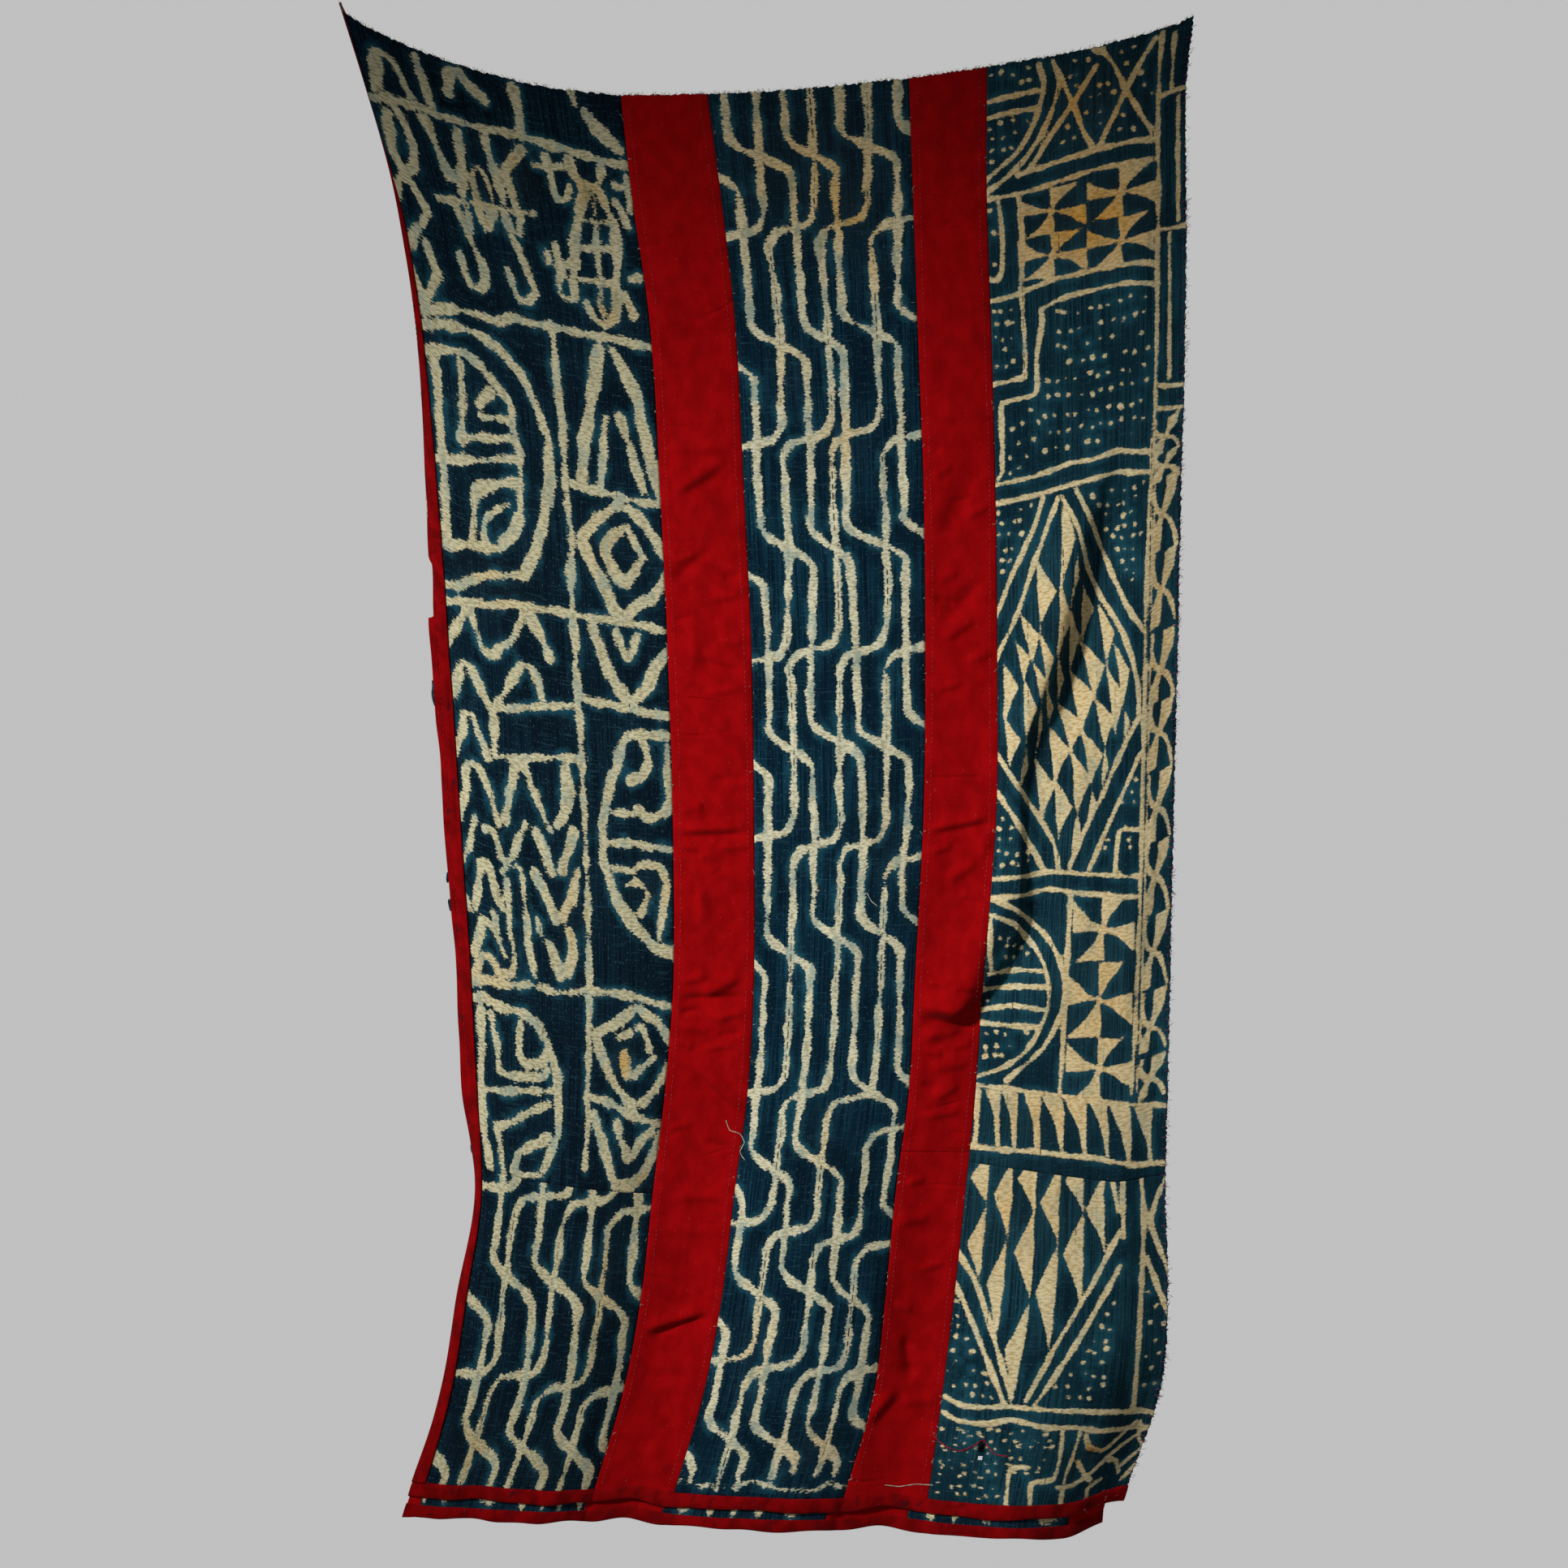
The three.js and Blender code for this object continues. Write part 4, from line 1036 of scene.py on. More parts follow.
# %% [markdown]
# ## What stays put on the flat cloth: seams and stains
# Each panel is several narrow woven strips, joined edge to edge. Where a join crosses a pale figure, the
# dark thread of the join shows. The charts therefore also keep the distance to the nearest join. Old
# cloth has rust and smoke stains, kept as a third value: a short table of soft spots for each panel.

# %% Joins between the woven strips, and stains
def join_distance(chart, tables):
    """Distance in mm across to the nearest join, each join being a table of (down, across)."""
    gaps = [np.abs(chart.u - column_place(table, chart.v)) for table in tables]
    return np.min(gaps, 0)


def stain_share(chart, spots):
    """Sum of soft round spots: strength times a bell on the distance in reaches."""
    total = np.zeros_like(chart.u)
    for u, v, reach_u, reach_v, strength in spots:
        total += strength * np.exp(-((chart.u - u) / reach_u) ** 2 - ((chart.v - v) / reach_v) ** 2)
    return np.clip(total, 0, 1)


def straight_joins(places):
    """Tables for joins that run straight down at some distances across."""
    return [[(0, u), (LENGTH, u)] for u in places]


# Columns: across and down in the panel, reach across and down, strength.
LEFT_STAINS = [
    (225, 125, 20, 26, 0.6), (232, 260, 22, 24, 0.45), (150, 120, 16, 40, 0.4), (100, 150, 14, 30, 0.4),
    (213, 1160, 14, 20, 0.8), (250, 950, 30, 30, 0.3), (200, 540, 26, 40, 0.25), (60, 620, 50, 40, 0.25),
    (30, 1080, 40, 30, 0.25), (140, 1000, 20, 60, 0.25), (250, 1300, 30, 18, 0.35),
]
LOWER_LEFT_STAINS = [(213, 1430, 20, 70, 0.3), (60, 1620, 30, 40, 0.3), (180, 1640, 30, 24, 0.3)]
MIDDLE_STAINS = [
    (110, 90, 130, 110, 0.55), (140, 150, 24, 34, 0.5), (165, 220, 20, 40, 0.3), (60, 330, 24, 40, 0.3),
    (120, 420, 30, 40, 0.35),
    (170, 900, 24, 60, 0.2), (110, 1250, 24, 50, 0.25), (50, 1500, 24, 60, 0.3), (150, 1610, 40, 30, 0.35),
]
RIGHT_STAINS = [
    (117, 200, 80, 52, 1.0), (110, 60, 120, 70, 0.5), (145, 1090, 44, 90, 0.4), (80, 1225, 70, 26, 0.35),
    (90, 700, 60, 120, 0.25),
    (170, 1610, 12, 12, 0.9), (60, 1340, 60, 60, 0.35), (120, 60, 50, 40, 0.3), (209, 700, 14, 200, 0.3),
]
# Spots of the lower right panel, black at their middle. The first is painted shadow: the shade seen through
# the small hole, painted round it. The others are scorch stains.
SCORCHES_AND_HOLE_SHADE = [
    (50, 1605, 4.2, 6.5, 1.6), (172, 1609, 5, 4, 0.8), (180, 1612, 3, 3, 0.7), (148, 1600, 2.5, 4, 0.4)]
print(len(LEFT_STAINS + LOWER_LEFT_STAINS + MIDDLE_STAINS + RIGHT_STAINS), "stains")

# %% [markdown]
# ## The dyed cotton
# The dye gets under the ties, so a resist line has a ragged edge that follows the threads, and a teal
# fringe where the dye was weak. Indigo also takes unevenly along the threads, which gives long upright
# streaks. The material reads the chart's distance, roughens it with noise and compares it with zero.
# Painting an image would look the same from afar, but this stays sharp at any distance and needs no file.

# %% A few short calls for nodes
def paint(red, green, blue):
    """A colour from screen values of 0 to 255, turned into the linear values that a shader takes."""
    share = np.array([red, green, blue]) / 255
    linear = np.where(share > 0.04045, ((share + 0.055) / 1.055) ** 2.4, share / 12.92)
    return (*linear.tolist(), 1.0)


class Finish:
    """One material under construction, with short calls for the nodes that this cloth needs."""

    def __init__(self, name):
        self.material = bpy.data.materials.new(name)
        self.material.use_nodes = True
        self.tree = self.material.node_tree
        self.shader = self.tree.nodes["Principled BSDF"]

    def node(self, kind, **settings):
        made = self.tree.nodes.new(kind)
        for label, value in settings.items():
            setattr(made, label, value)
        return made

    def put(self, socket, value):
        """Links an output to a socket, or sets a plain number or colour on it."""
        if isinstance(value, bpy.types.NodeSocket):
            self.tree.links.new(value, socket)
        else:
            socket.default_value = value

    def value(self, label):
        """A value that the mesh keeps at its points."""
        return self.node("ShaderNodeAttribute", attribute_name=label).outputs["Fac"]

    def flat(self, per_metre_across=1.0, per_metre_down=1.0):
        """The flat place on the cloth in metres, stretched by a count for each direction."""
        mapping = self.node("ShaderNodeMapping")
        mapping.inputs["Scale"].default_value = (per_metre_across, per_metre_down, 1)
        self.put(mapping.inputs["Vector"], self.node("ShaderNodeUVMap", uv_map="flat").outputs[0])
        return mapping.outputs[0]

    def noise(self, per_metre_across, per_metre_down, detail=2.0):
        """Soft noise from about 0.2 to 0.8, with so many blots to the metre in each direction."""
        made = self.node("ShaderNodeTexNoise", noise_dimensions="2D")
        made.inputs["Scale"].default_value = 1
        made.inputs["Detail"].default_value = detail
        self.put(made.inputs["Vector"], self.flat(per_metre_across, per_metre_down))
        return made.outputs["Fac"]

    def math(self, operation, a, b=0.0):
        made = self.node("ShaderNodeMath", operation=operation)
        self.put(made.inputs[0], a)
        self.put(made.inputs[1], b)
        return made.outputs[0]

    def span(self, value, low, high, start=0.0, end=1.0):
        """Goes smoothly from start to end while the value goes from low to high."""
        made = self.node("ShaderNodeMapRange", interpolation_type="SMOOTHSTEP")
        for label, number in [("From Min", low), ("From Max", high), ("To Min", start), ("To Max", end)]:
            made.inputs[label].default_value = number
        self.put(made.inputs["Value"], value)
        return made.outputs["Result"]

    def mix(self, share, first, second, kind="MIX"):
        """Colour that goes from the first to the second with the share."""
        made = self.node("ShaderNodeMix", data_type="RGBA", blend_type=kind)
        self.put(made.inputs["Factor"], share)
        self.put(made.inputs[6], first)
        self.put(made.inputs[7], second)
        return made.outputs[2]

    def close(self, colour, height, rise_mm, roughness, sheen):
        """Connects colour and bump, and sets the numbers that are the same all over."""
        bump = self.node("ShaderNodeBump")
        bump.inputs["Distance"].default_value = rise_mm * MM
        bump.inputs["Strength"].default_value = 1
        self.put(bump.inputs["Height"], height)
        self.put(self.shader.inputs["Normal"], bump.outputs["Normal"])
        self.put(self.shader.inputs["Base Color"], colour)
        self.shader.inputs["Roughness"].default_value = roughness
        self.shader.inputs["Specular IOR Level"].default_value = 0.05
        self.shader.inputs["Sheen Weight"].default_value = sheen
        self.shader.inputs["Sheen Roughness"].default_value = 0.5
        return self.material


print("cream in linear values:", np.round(paint(210, 198, 150), 3))

# %% The indigo cloth with its resist figures
def thread_weave(finish, pitch_mm):
    """Height of a plain weave: the product of two sine waves, whose crests are the upper threads."""
    place = finish.node("ShaderNodeSeparateXYZ")
    finish.put(place.inputs[0], finish.flat(3141.6 / pitch_mm, 3141.6 / pitch_mm))
    wave_u = finish.math("SINE", place.outputs["X"])
    wave_v = finish.math("SINE", place.outputs["Y"])
    return finish.math("MULTIPLY", wave_u, wave_v)


def indigo_cloth(name, pale, dusk, deep, bright, ragged, seep):
    """Dyed cotton: pale where the charted distance, roughened by a few times ragged mm, is below zero.

    seep is the largest share of dye that got into the pale figures."""
    f = Finish(name)
    resist = f.value("resist")
    teeth = f.math("MULTIPLY", f.math("SUBTRACT", f.noise(210, 430, 3), 0.5), 9.0 * ragged)
    swell = f.math("MULTIPLY", f.math("SUBTRACT", f.noise(46, 30, 2), 0.5), 13.0 * ragged)
    edge = f.math("ADD", f.math("ADD", resist, teeth), swell)
    undyed = f.span(edge, -1.0, 0.8, 1, 0)
    ribs = f.noise(150, 420, 1)
    cream = f.mix(f.span(ribs, 0.3, 0.62), dusk, pale)
    cream = f.mix(f.span(f.noise(48, 26, 4), 0.5, 0.7, 0, seep), cream, paint(132, 164, 158))
    cream = f.mix(f.value("stain"), cream, paint(255, 206, 122), "MULTIPLY")
    stitch_run = f.node("ShaderNodeSeparateXYZ")
    f.put(stitch_run.inputs[0], f.flat(1, 1000 / 13))
    beat = f.math("FRACT", f.math("ADD", stitch_run.outputs["Y"], f.noise(30, 50, 1)))
    thread_shows = f.span(f.noise(22, 16, 2), 0.46, 0.56)
    sewn = f.math("MULTIPLY", f.span(f.value("join"), 0.5, 1.5, 0.95, 0), thread_shows)
    dash = f.math("MULTIPLY", f.span(beat, 0.55, 0.68, 1, 0), sewn)
    cream = f.mix(dash, cream, paint(34, 40, 38))
    blue = f.mix(f.span(f.noise(430, 8, 2), 0.32, 0.7), deep, bright)
    blue = f.mix(f.span(f.noise(12, 9, 3), 0.42, 0.66, 0, 0.7), blue, deep)
    blue = f.mix(f.span(f.noise(34, 500, 1), 0.62, 0.8, 0, 0.35), blue, paint(44, 86, 100))
    halo_share = f.span(f.noise(30, 19, 2), 0.46, 0.66, 0.15, 1)
    halo = f.math("MULTIPLY", f.span(edge, 0.0, 9.5, 1, 0), halo_share)
    blue = f.mix(f.math("MULTIPLY", halo, 0.65), blue, paint(34, 90, 106))
    flecks = f.span(f.noise(520, 230, 1), 0.68, 0.8, 0, 0.4)
    blue = f.mix(flecks, blue, paint(80, 112, 124))
    blue = f.mix(f.math("MULTIPLY", f.value("stain"), 0.35), blue, paint(46, 52, 50))
    weave = f.math("MULTIPLY", thread_weave(f, 1.5), 0.25)
    relief = f.math("ADD", weave, f.math("MULTIPLY", ribs, 1.2))
    height = f.math("ADD", relief, f.math("MULTIPLY", undyed, 0.35))
    # Black where the scorch spots lie: scorch stains, and painted shadow round the small hole.
    colour = f.mix(f.value("scorch_and_hole_shade"), f.mix(undyed, blue, cream), paint(5, 6, 7))
    return f.close(colour, height, 0.5, 0.95, 0.01)


indigo_left = indigo_cloth(
    "indigo_left", paint(216, 209, 172), paint(170, 162, 124), paint(6, 20, 31), paint(15, 40, 54), 0.9, 0.45)
indigo_middle = indigo_cloth(
    "indigo_middle", paint(234, 229, 196), paint(188, 182, 146), paint(5, 26, 40), paint(17, 54, 72),
    0.8, 0.6)
indigo_right = indigo_cloth(
    "indigo_right", paint(242, 226, 180), paint(210, 186, 132), paint(11, 38, 50), paint(30, 70, 82),
    0.4, 0.25)
print("three indigo finishes, of", len(indigo_left.node_tree.nodes), "nodes each")

# %% [markdown]
# The red strips are plain cotton, a little felted, so the weave hardly shows. What one sees is a fuzzy
# mottle, a faint lengthwise streak and some lint. Bindings and hem are the same cloth, folded and dirtier.

# %% Red cotton, for strips and for bindings
def red_cotton(name, bright, deep, worn):
    """Felted red: two noises mix a bright and a deep red, and a third rubs the cloth pale or dark."""
    f = Finish(name)
    mottle = f.noise(60, 45, 4)
    fuzz = f.noise(620, 620, 2)
    colour = f.mix(f.span(mottle, 0.3, 0.7), deep, bright)
    colour = f.mix(f.span(fuzz, 0.3, 0.7, 0, 0.3), colour, deep)
    colour = f.mix(f.span(f.noise(300, 12, 2), 0.5, 0.75, 0, 0.22), colour, bright)
    lint = f.span(f.noise(240, 150, 2), 0.74, 0.82, 0, 0.25)
    colour = f.mix(lint, colour, paint(190, 70, 70))
    colour = f.mix(f.span(f.noise(95, 60, 3), 0.66, 0.74, 0, worn), colour, paint(46, 14, 22))
    line = f.math("ABSOLUTE", f.math("SUBTRACT", f.noise(7, 17, 1), 0.5))
    crumple = f.math("MULTIPLY", f.span(line, 0, 0.06, 0.6, 0), f.span(f.noise(14, 9, 1), 0.5, 0.68))
    grain = f.math("ADD", f.math("MULTIPLY", fuzz, 0.2), f.math("MULTIPLY", thread_weave(f, 1.2), 0.04))
    return f.close(colour, f.math("SUBTRACT", grain, crumple), 1.6, 0.92, 0.01)


red_cloth = red_cotton("red_cloth", paint(170, 5, 10), paint(150, 2, 6), 0.1)
red_binding = red_cotton("red_binding", paint(150, 4, 9), paint(112, 2, 5), 0.6)
print("red finishes ready")


def thread_finish(name, light, dark):
    """Spun thread: light and dark by noise along it, with a fine twist in the bump."""
    f = Finish(name)
    place = f.node("ShaderNodeTexCoord").outputs["Object"]
    blots = f.node("ShaderNodeTexNoise")
    blots.inputs["Scale"].default_value = 180
    f.put(blots.inputs["Vector"], place)
    colour = f.mix(f.span(blots.outputs["Fac"], 0.35, 0.65), dark, light)
    return f.close(colour, blots.outputs["Fac"], 0.1, 0.85, 0.1)


pale_thread = thread_finish("pale_thread", paint(226, 216, 190), paint(160, 160, 150))
pink_thread = thread_finish("pink_thread", paint(196, 84, 92), paint(150, 30, 44))
purple_thread = thread_finish("purple_thread", paint(132, 60, 110), paint(60, 24, 66))
red_thread = thread_finish("red_thread", paint(214, 20, 40), paint(140, 4, 20))
print("thread finishes ready")

# %% [markdown]
# ## The five dyed panels
# Now the charts become cloth. A hand-cut edge isn't straight, so the raw top edge and the right edge are
# shaken by about a millimetre before the grid is hung. One small hole in the lower right panel is made by
# leaving out the faces inside an oval, and Solidify closes the rim round it. Round the hole, a black spot
# is painted shadow: the shade seen through it.

# %% Panels on their folds
def panel(name, node, finish, flat, chart, joins, stains, cut_top=False, cut_right=False, hole=None):
    """Hangs one charted grid, with its chart, joins and stains kept at its points."""
    across, down = flat[0].copy(), flat[1].copy()
    if cut_top:
        down[0] += chance.uniform(-1.6, 1.2, down.shape[1])
    if cut_right:
        across[:, -1] += chance.uniform(-1.4, 0.6, across.shape[0])
    faces = grid_faces(*across.shape)
    if hole is not None:
        u, v, half_u, half_v = hole
        centre = np.stack([chart.u.reshape(-1)[faces].mean(1), chart.v.reshape(-1)[faces].mean(1)], -1)
        away = np.hypot((centre[:, 0] - u) / half_u, (centre[:, 1] - v) / half_v)
        faces = faces[away > 1]
    values = {"resist": chart.field, "join": join_distance(chart, joins), "stain": stain_share(chart, stains)}
    if hole is not None:
        # Scorch stains, and the painted shadow round the small hole.
        values["scorch_and_hole_shade"] = stain_share(chart, SCORCHES_AND_HOLE_SHADE)
    piece = mesh_piece(name, hang(across, down), faces, (across, down), values)
    dress(thicken(piece, 1.6), node, finish)
    return piece


panel(
    "cloth_left_upper", "panel_left_upper", indigo_left, left_upper_flat, left_upper,
    straight_joins([44, 98, 160, 222]), LEFT_STAINS, cut_top=True)
panel(
    "cloth_left_lower", "panel_left_lower", indigo_left, left_lower_flat, left_lower,
    LOWER_HOOK_COLUMNS[1:4], LOWER_LEFT_STAINS)
panel(
    "cloth_middle", "panel_middle", indigo_middle, middle_flat, middle,
    HOOK_COLUMNS[1:4], MIDDLE_STAINS, cut_top=True)
panel(
    "cloth_right_upper", "panel_right_upper", indigo_right, right_upper_flat, right_upper,
    straight_joins([38, 83, 128, 151, 193]), RIGHT_STAINS, cut_top=True, cut_right=True)
panel(
    "cloth_right_lower", "panel_right_lower", indigo_right, right_lower_flat, right_lower,
    straight_joins([38, 83, 128, 151, 193]), RIGHT_STAINS, cut_right=True, hole=(50, 1616, 3.0, 3.0))

# %% [markdown]
# ## Red strips and the side binding
# The strips are plain grids of the same kind, thinner, with their crumples already in the hang function.
# The right one is two lengths, joined at a cross seam.

# %% Red strips
def red_sheet(name, node, finish, flat, thickness, cut_top=False):
    across, down = flat[0].copy(), flat[1].copy()
    if cut_top:
        down[0] += chance.uniform(-1.4, 1.0, down.shape[1])
    piece = mesh_piece(name, hang(across, down), grid_faces(*across.shape), (across, down))
    dress(thicken(piece, thickness), node, finish)
    return piece


red_sheet(
    "red_strip_left", "strip_left", red_cloth,
    grid(LEFT_STRIP_AT + GAP / 2, MIDDLE_PANEL_AT - GAP / 2, (0, 0), (LENGTH, LENGTH), 2.5, 2.5), 1.2, True)
red_sheet(
    "red_strip_right_upper", "strip_right_upper", red_cloth,
    grid(RIGHT_STRIP_AT + GAP / 2, RIGHT_PANEL_AT - GAP / 2, (0, 0), STRIP_CROSS_SEAM, 2.5, 2.5), 1.2, True)
red_sheet(
    "red_strip_right_lower", "strip_right_lower", red_cloth,
    grid(RIGHT_STRIP_AT + GAP / 2, RIGHT_PANEL_AT - GAP / 2, STRIP_CROSS_SEAM, (LENGTH, LENGTH), 2.5, 2.5),
    1.2)

# %% [markdown]
# The binding is folded over the cloth's edge, so it stands in front of the panel and hides where the panel
# ends. Only near the top corner is it turned right round to the back. Its outer edge wanders, and it jumps
# where one length of binding laps over the next. A groove runs down it where it was sewn.

# %% The binding of the left edge
BINDING_LAP = 2.5
# How far the outer edge is set in at each distance down; two rows close together make a jump.
OUTER_EDGE = np.array([
    (0, 0), (380, 0.5), (385, -1.5), (628, -0.5), (632, 4.5), (694, 4.5), (698, -1.5), (900, -1), (1100, 0.5),
    (1300, 0), (1500, 0.8), (1670, 0)])
binding_across, binding_down = grid(0, BINDING_WIDTH + BINDING_LAP, (0, 0), (LENGTH, LENGTH), 1.3, 3)
binding_share = binding_across / binding_across.max()
outer = np.interp(binding_down, OUTER_EDGE[:, 0], OUTER_EDGE[:, 1])
outer = outer + 0.7 * np.sin(binding_down / 41) + 0.5 * np.sin(binding_down / 17 + 1)
lapped = ease((binding_down - 120) / 160)
binding_across = binding_across - (BINDING_LAP + 0.6) * (1 - lapped) * binding_share
binding_across = binding_across + outer * lapped * (1 - binding_share)
binding_rise = 2.1 + 1.5 * np.sin(np.pi * binding_share)
binding_rise = binding_rise - 1.3 * np.exp(-((binding_across - 7.5) / 1.6) ** 2)
binding_rise = binding_rise * lapped - 0.8 * (1 - lapped)
side_binding = mesh_piece(
    "red_binding_left", hang(binding_across, binding_down, -binding_rise), grid_faces(*binding_across.shape),
    (binding_across, binding_down))
dress(thicken(side_binding, 2.4), "binding_left", red_binding)
print("binding stands up to", binding_rise.max().round(1), "mm in front of the cloth")

# %% [markdown]
# ## The hem and the tail below it
# The hem is a band of red cloth rolled over the bottom edge: a rounded section carried along the hem.
# Below it shows a short tail with slices of the same panels and strips, set a little back, and a red edge
# of its own.

# %% Rolled hem band
HEM_HEIGHT = 15
TAIL_BACK = 3.1
TAIL_END = WIDTH - 20


def strip_lift(across):
    """How far the hem is drawn up where it is set back below each strip: two bells."""
    return 5 * np.exp(-((across - 341) / 25) ** 2) + 4 * np.exp(-((across - 646) / 22) ** 2)


def rolled(across, middle_down, half_height, half_depth, behind, steps=14):
    """A rounded section carried across: down is a flattened cosine and depth a sine round the section."""
    turn = np.linspace(0, 2 * np.pi, steps, endpoint=False)[:, None]
    square = np.sign(np.cos(turn)) * np.abs(np.cos(turn)) ** 0.6
    down = middle_down - half_height * square
    wide = np.broadcast_to(across, down.shape[:1] + across.shape)
    points = hang(wide, down, half_depth * np.sin(turn) + behind)
    k = np.arange(points.shape[0] * points.shape[1]).reshape(points.shape[:2])
    after = np.roll(k, -1, 0)
    faces = np.stack([k[:, :-1], k[:, 1:], after[:, 1:], after[:, :-1]], -1).reshape(-1, 4)
    caps = [k[:, 0].tolist(), k[::-1, -1].tolist()]
    return points, faces, caps, (wide, np.broadcast_to(down, wide.shape))


def solid_piece(name, points, faces, caps, flat):
    """A closed mesh from a ring of faces and its two end caps."""
    corners = [c for face in faces.tolist() + caps for c in face]
    mesh = bpy.data.meshes.new(name)
    mesh.from_pydata(points.reshape(-1, 3) * MM, [], faces.tolist() + caps)
    places = np.stack([flat[0].reshape(-1), -flat[1].reshape(-1)], -1)[corners] * MM
    mesh.uv_layers.new(name="flat").data.foreach_set("uv", places.astype(np.float32).reshape(-1))
    mesh.polygons.foreach_set("use_smooth", np.ones(len(mesh.polygons), bool))
    mesh.update()
    piece = bpy.data.objects.new(name, mesh)
    bpy.context.scene.collection.objects.link(piece)
    return piece


hem_across = np.linspace(0, WIDTH, 420)
pucker = 0.5 * np.sin(hem_across / 5.3) + 0.6 * np.sin(hem_across / 11.7 + 1) + 0.4 * np.sin(hem_across / 3.1)
sway = 1.2 * np.sin(hem_across / 29 + 0.6) + 0.7 * np.sin(hem_across / 12.3 + 2)
hem_middle = LENGTH - 1 + HEM_HEIGHT / 2 + 0.7 * sway - strip_lift(hem_across)
hem_half = HEM_HEIGHT / 2 + 0.9 + 0.4 * sway
hem_parts = rolled(hem_across, hem_middle, hem_half, 2.6 + 0.4 * pucker, 0.5 * pucker - 0.6)
red_hem = dress(solid_piece("red_hem", *hem_parts), "hem_band", red_binding)

# %% Slices of panels and strips in the tail, and its red edge
def tail_slices(name, spans, node, finish):
    """Short grids that hang behind the hem, one for each span across, joined into one mesh."""
    points, faces, across_all, down_all, count = [], [], [], [], 0
    for start, end in spans:
        across, down = grid(start, end, (LENGTH + 7, LENGTH + 7), (LENGTH + 27, LENGTH + 27), 3, 2.5)
        down = down - strip_lift(across)
        points.append(hang(across, down, TAIL_BACK + 0.5 * strip_lift(across)).reshape(-1, 3))
        faces.append(grid_faces(*across.shape) + count)
        across_all.append(across.reshape(-1))
        down_all.append(down.reshape(-1))
        count += across.size
    flat = (np.concatenate(across_all), np.concatenate(down_all))
    wave = 6 + 8 * np.sin(flat[0] / 7 + np.sin(flat[0] / 37) * 3) + 0.5 * (flat[1] - LENGTH - 18)
    values = {"resist": wave, "join": np.full(count, 30.0), "stain": np.full(count, 0.2)}
    piece = mesh_piece(name, np.concatenate(points), np.concatenate(faces), flat, values)
    dress(thicken(piece, 1.6), node, finish)
    return piece


tail_slices(
    "tail_blue", [(LEFT_PANEL_AT, LEFT_STRIP_AT - 4), (MIDDLE_PANEL_AT - 8, RIGHT_STRIP_AT - 14),
                  (RIGHT_PANEL_AT - 18, TAIL_END - 42)], "hem_tail", indigo_middle)
tail_slices(
    "tail_red", [(1, LEFT_PANEL_AT - GAP), (LEFT_STRIP_AT - 4 + GAP, MIDDLE_PANEL_AT - 8 - GAP),
                 (RIGHT_STRIP_AT - 14 + GAP, RIGHT_PANEL_AT - 18 - GAP), (TAIL_END - 42 + GAP, TAIL_END)],
    None, red_cloth)
edge_across = np.linspace(0, TAIL_END, 360)
edge_sway = 0.6 * np.sin(edge_across / 27 + 0.9) + 0.4 * np.sin(edge_across / 12.3 + 2.4)
edge_middle = LENGTH + 25 + 6 + edge_sway - strip_lift(edge_across)
edge_parts = rolled(edge_across, edge_middle, 7 + edge_sway, 1.5, TAIL_BACK - 0.4, 12)
tail_edge = dress(solid_piece("tail_edge", *edge_parts), "hem_tail_binding", red_binding)

# %% [markdown]
# ## Stitches and loose threads
# Stitches and threads are all the same thing: a thin round tube along a path. Paths are drawn on the flat
# cloth with a height above it, and the hang function puts them on the folds. All tubes of one kind are
# worked out in one array and joined into one mesh, because hundreds of separate objects would be slow.

# %% Tubes along many paths at once
def tubes(name, paths, radius, sides, finish):
    """Round tubes: at each point of each path a ring, square to the path, and a tip that closes each end."""
    paths = np.asarray(paths, float)
    count, steps = paths.shape[:2]
    ahead = np.gradient(paths, axis=1)
    ahead /= np.linalg.norm(ahead, axis=-1, keepdims=True) + 1e-9
    guide = np.where(np.abs(ahead[..., 1:2]) > 0.8, np.array([1.0, 0, 0]), np.array([0, 1.0, 0]))
    first = np.cross(ahead, guide)
    first /= np.linalg.norm(first, axis=-1, keepdims=True) + 1e-9
    second = np.cross(ahead, first)
    turn = np.linspace(0, 2 * np.pi, sides, endpoint=False)
    thin = np.ones(steps)
    thin[[0, -1]] = 0.55
    ring = first[:, :, None] * np.cos(turn)[:, None] + second[:, :, None] * np.sin(turn)[:, None]
    points = paths[:, :, None] + ring * (radius * thin)[None, :, None, None]
    k = np.arange(count * steps * sides).reshape(count, steps, sides)
    beside = np.roll(k, -1, 2)
    walls = np.stack([k[:, :-1], beside[:, :-1], beside[:, 1:], k[:, 1:]], -1).reshape(-1, 4).tolist()
    caps = k[:, 0, ::-1].tolist() + k[:, -1].tolist()
    mesh = bpy.data.meshes.new(name)
    mesh.from_pydata(points.reshape(-1, 3) * MM, [], walls + caps)
    mesh.polygons.foreach_set("use_smooth", np.ones(len(mesh.polygons), bool))
    mesh.update()
    piece = bpy.data.objects.new(name, mesh)
    bpy.context.scene.collection.objects.link(piece)
    return dress(piece, None, finish)


def lifted(across, down, lift):
    """Paths on the hung cloth that stand a little in front of it."""
    return hang(across, down, -np.asarray(lift, float))


print("tube helpers ready")

# %% Topstitching of the red strips
def stitch_line(across, start, end, pitch, length, above=0.6):
    """Running stitches down a line: each dips under the cloth at both ends and rises over it between."""
    downs = np.arange(start, end, pitch)
    downs = downs + chance.uniform(-0.6, 0.6, len(downs))
    share = np.linspace(0, 1, 5)
    down = downs[:, None] + length * chance.uniform(0.8, 1.15, (len(downs), 1)) * share
    wander = 0.9 * np.sin(down / 90 + across) + chance.uniform(-0.4, 0.4, (len(downs), 1))
    lift = above + 0.55 * np.sin(np.pi * share) - 0.5 * (np.abs(share - 0.5) > 0.45)
    return lifted(across + wander, down, np.broadcast_to(lift, down.shape))


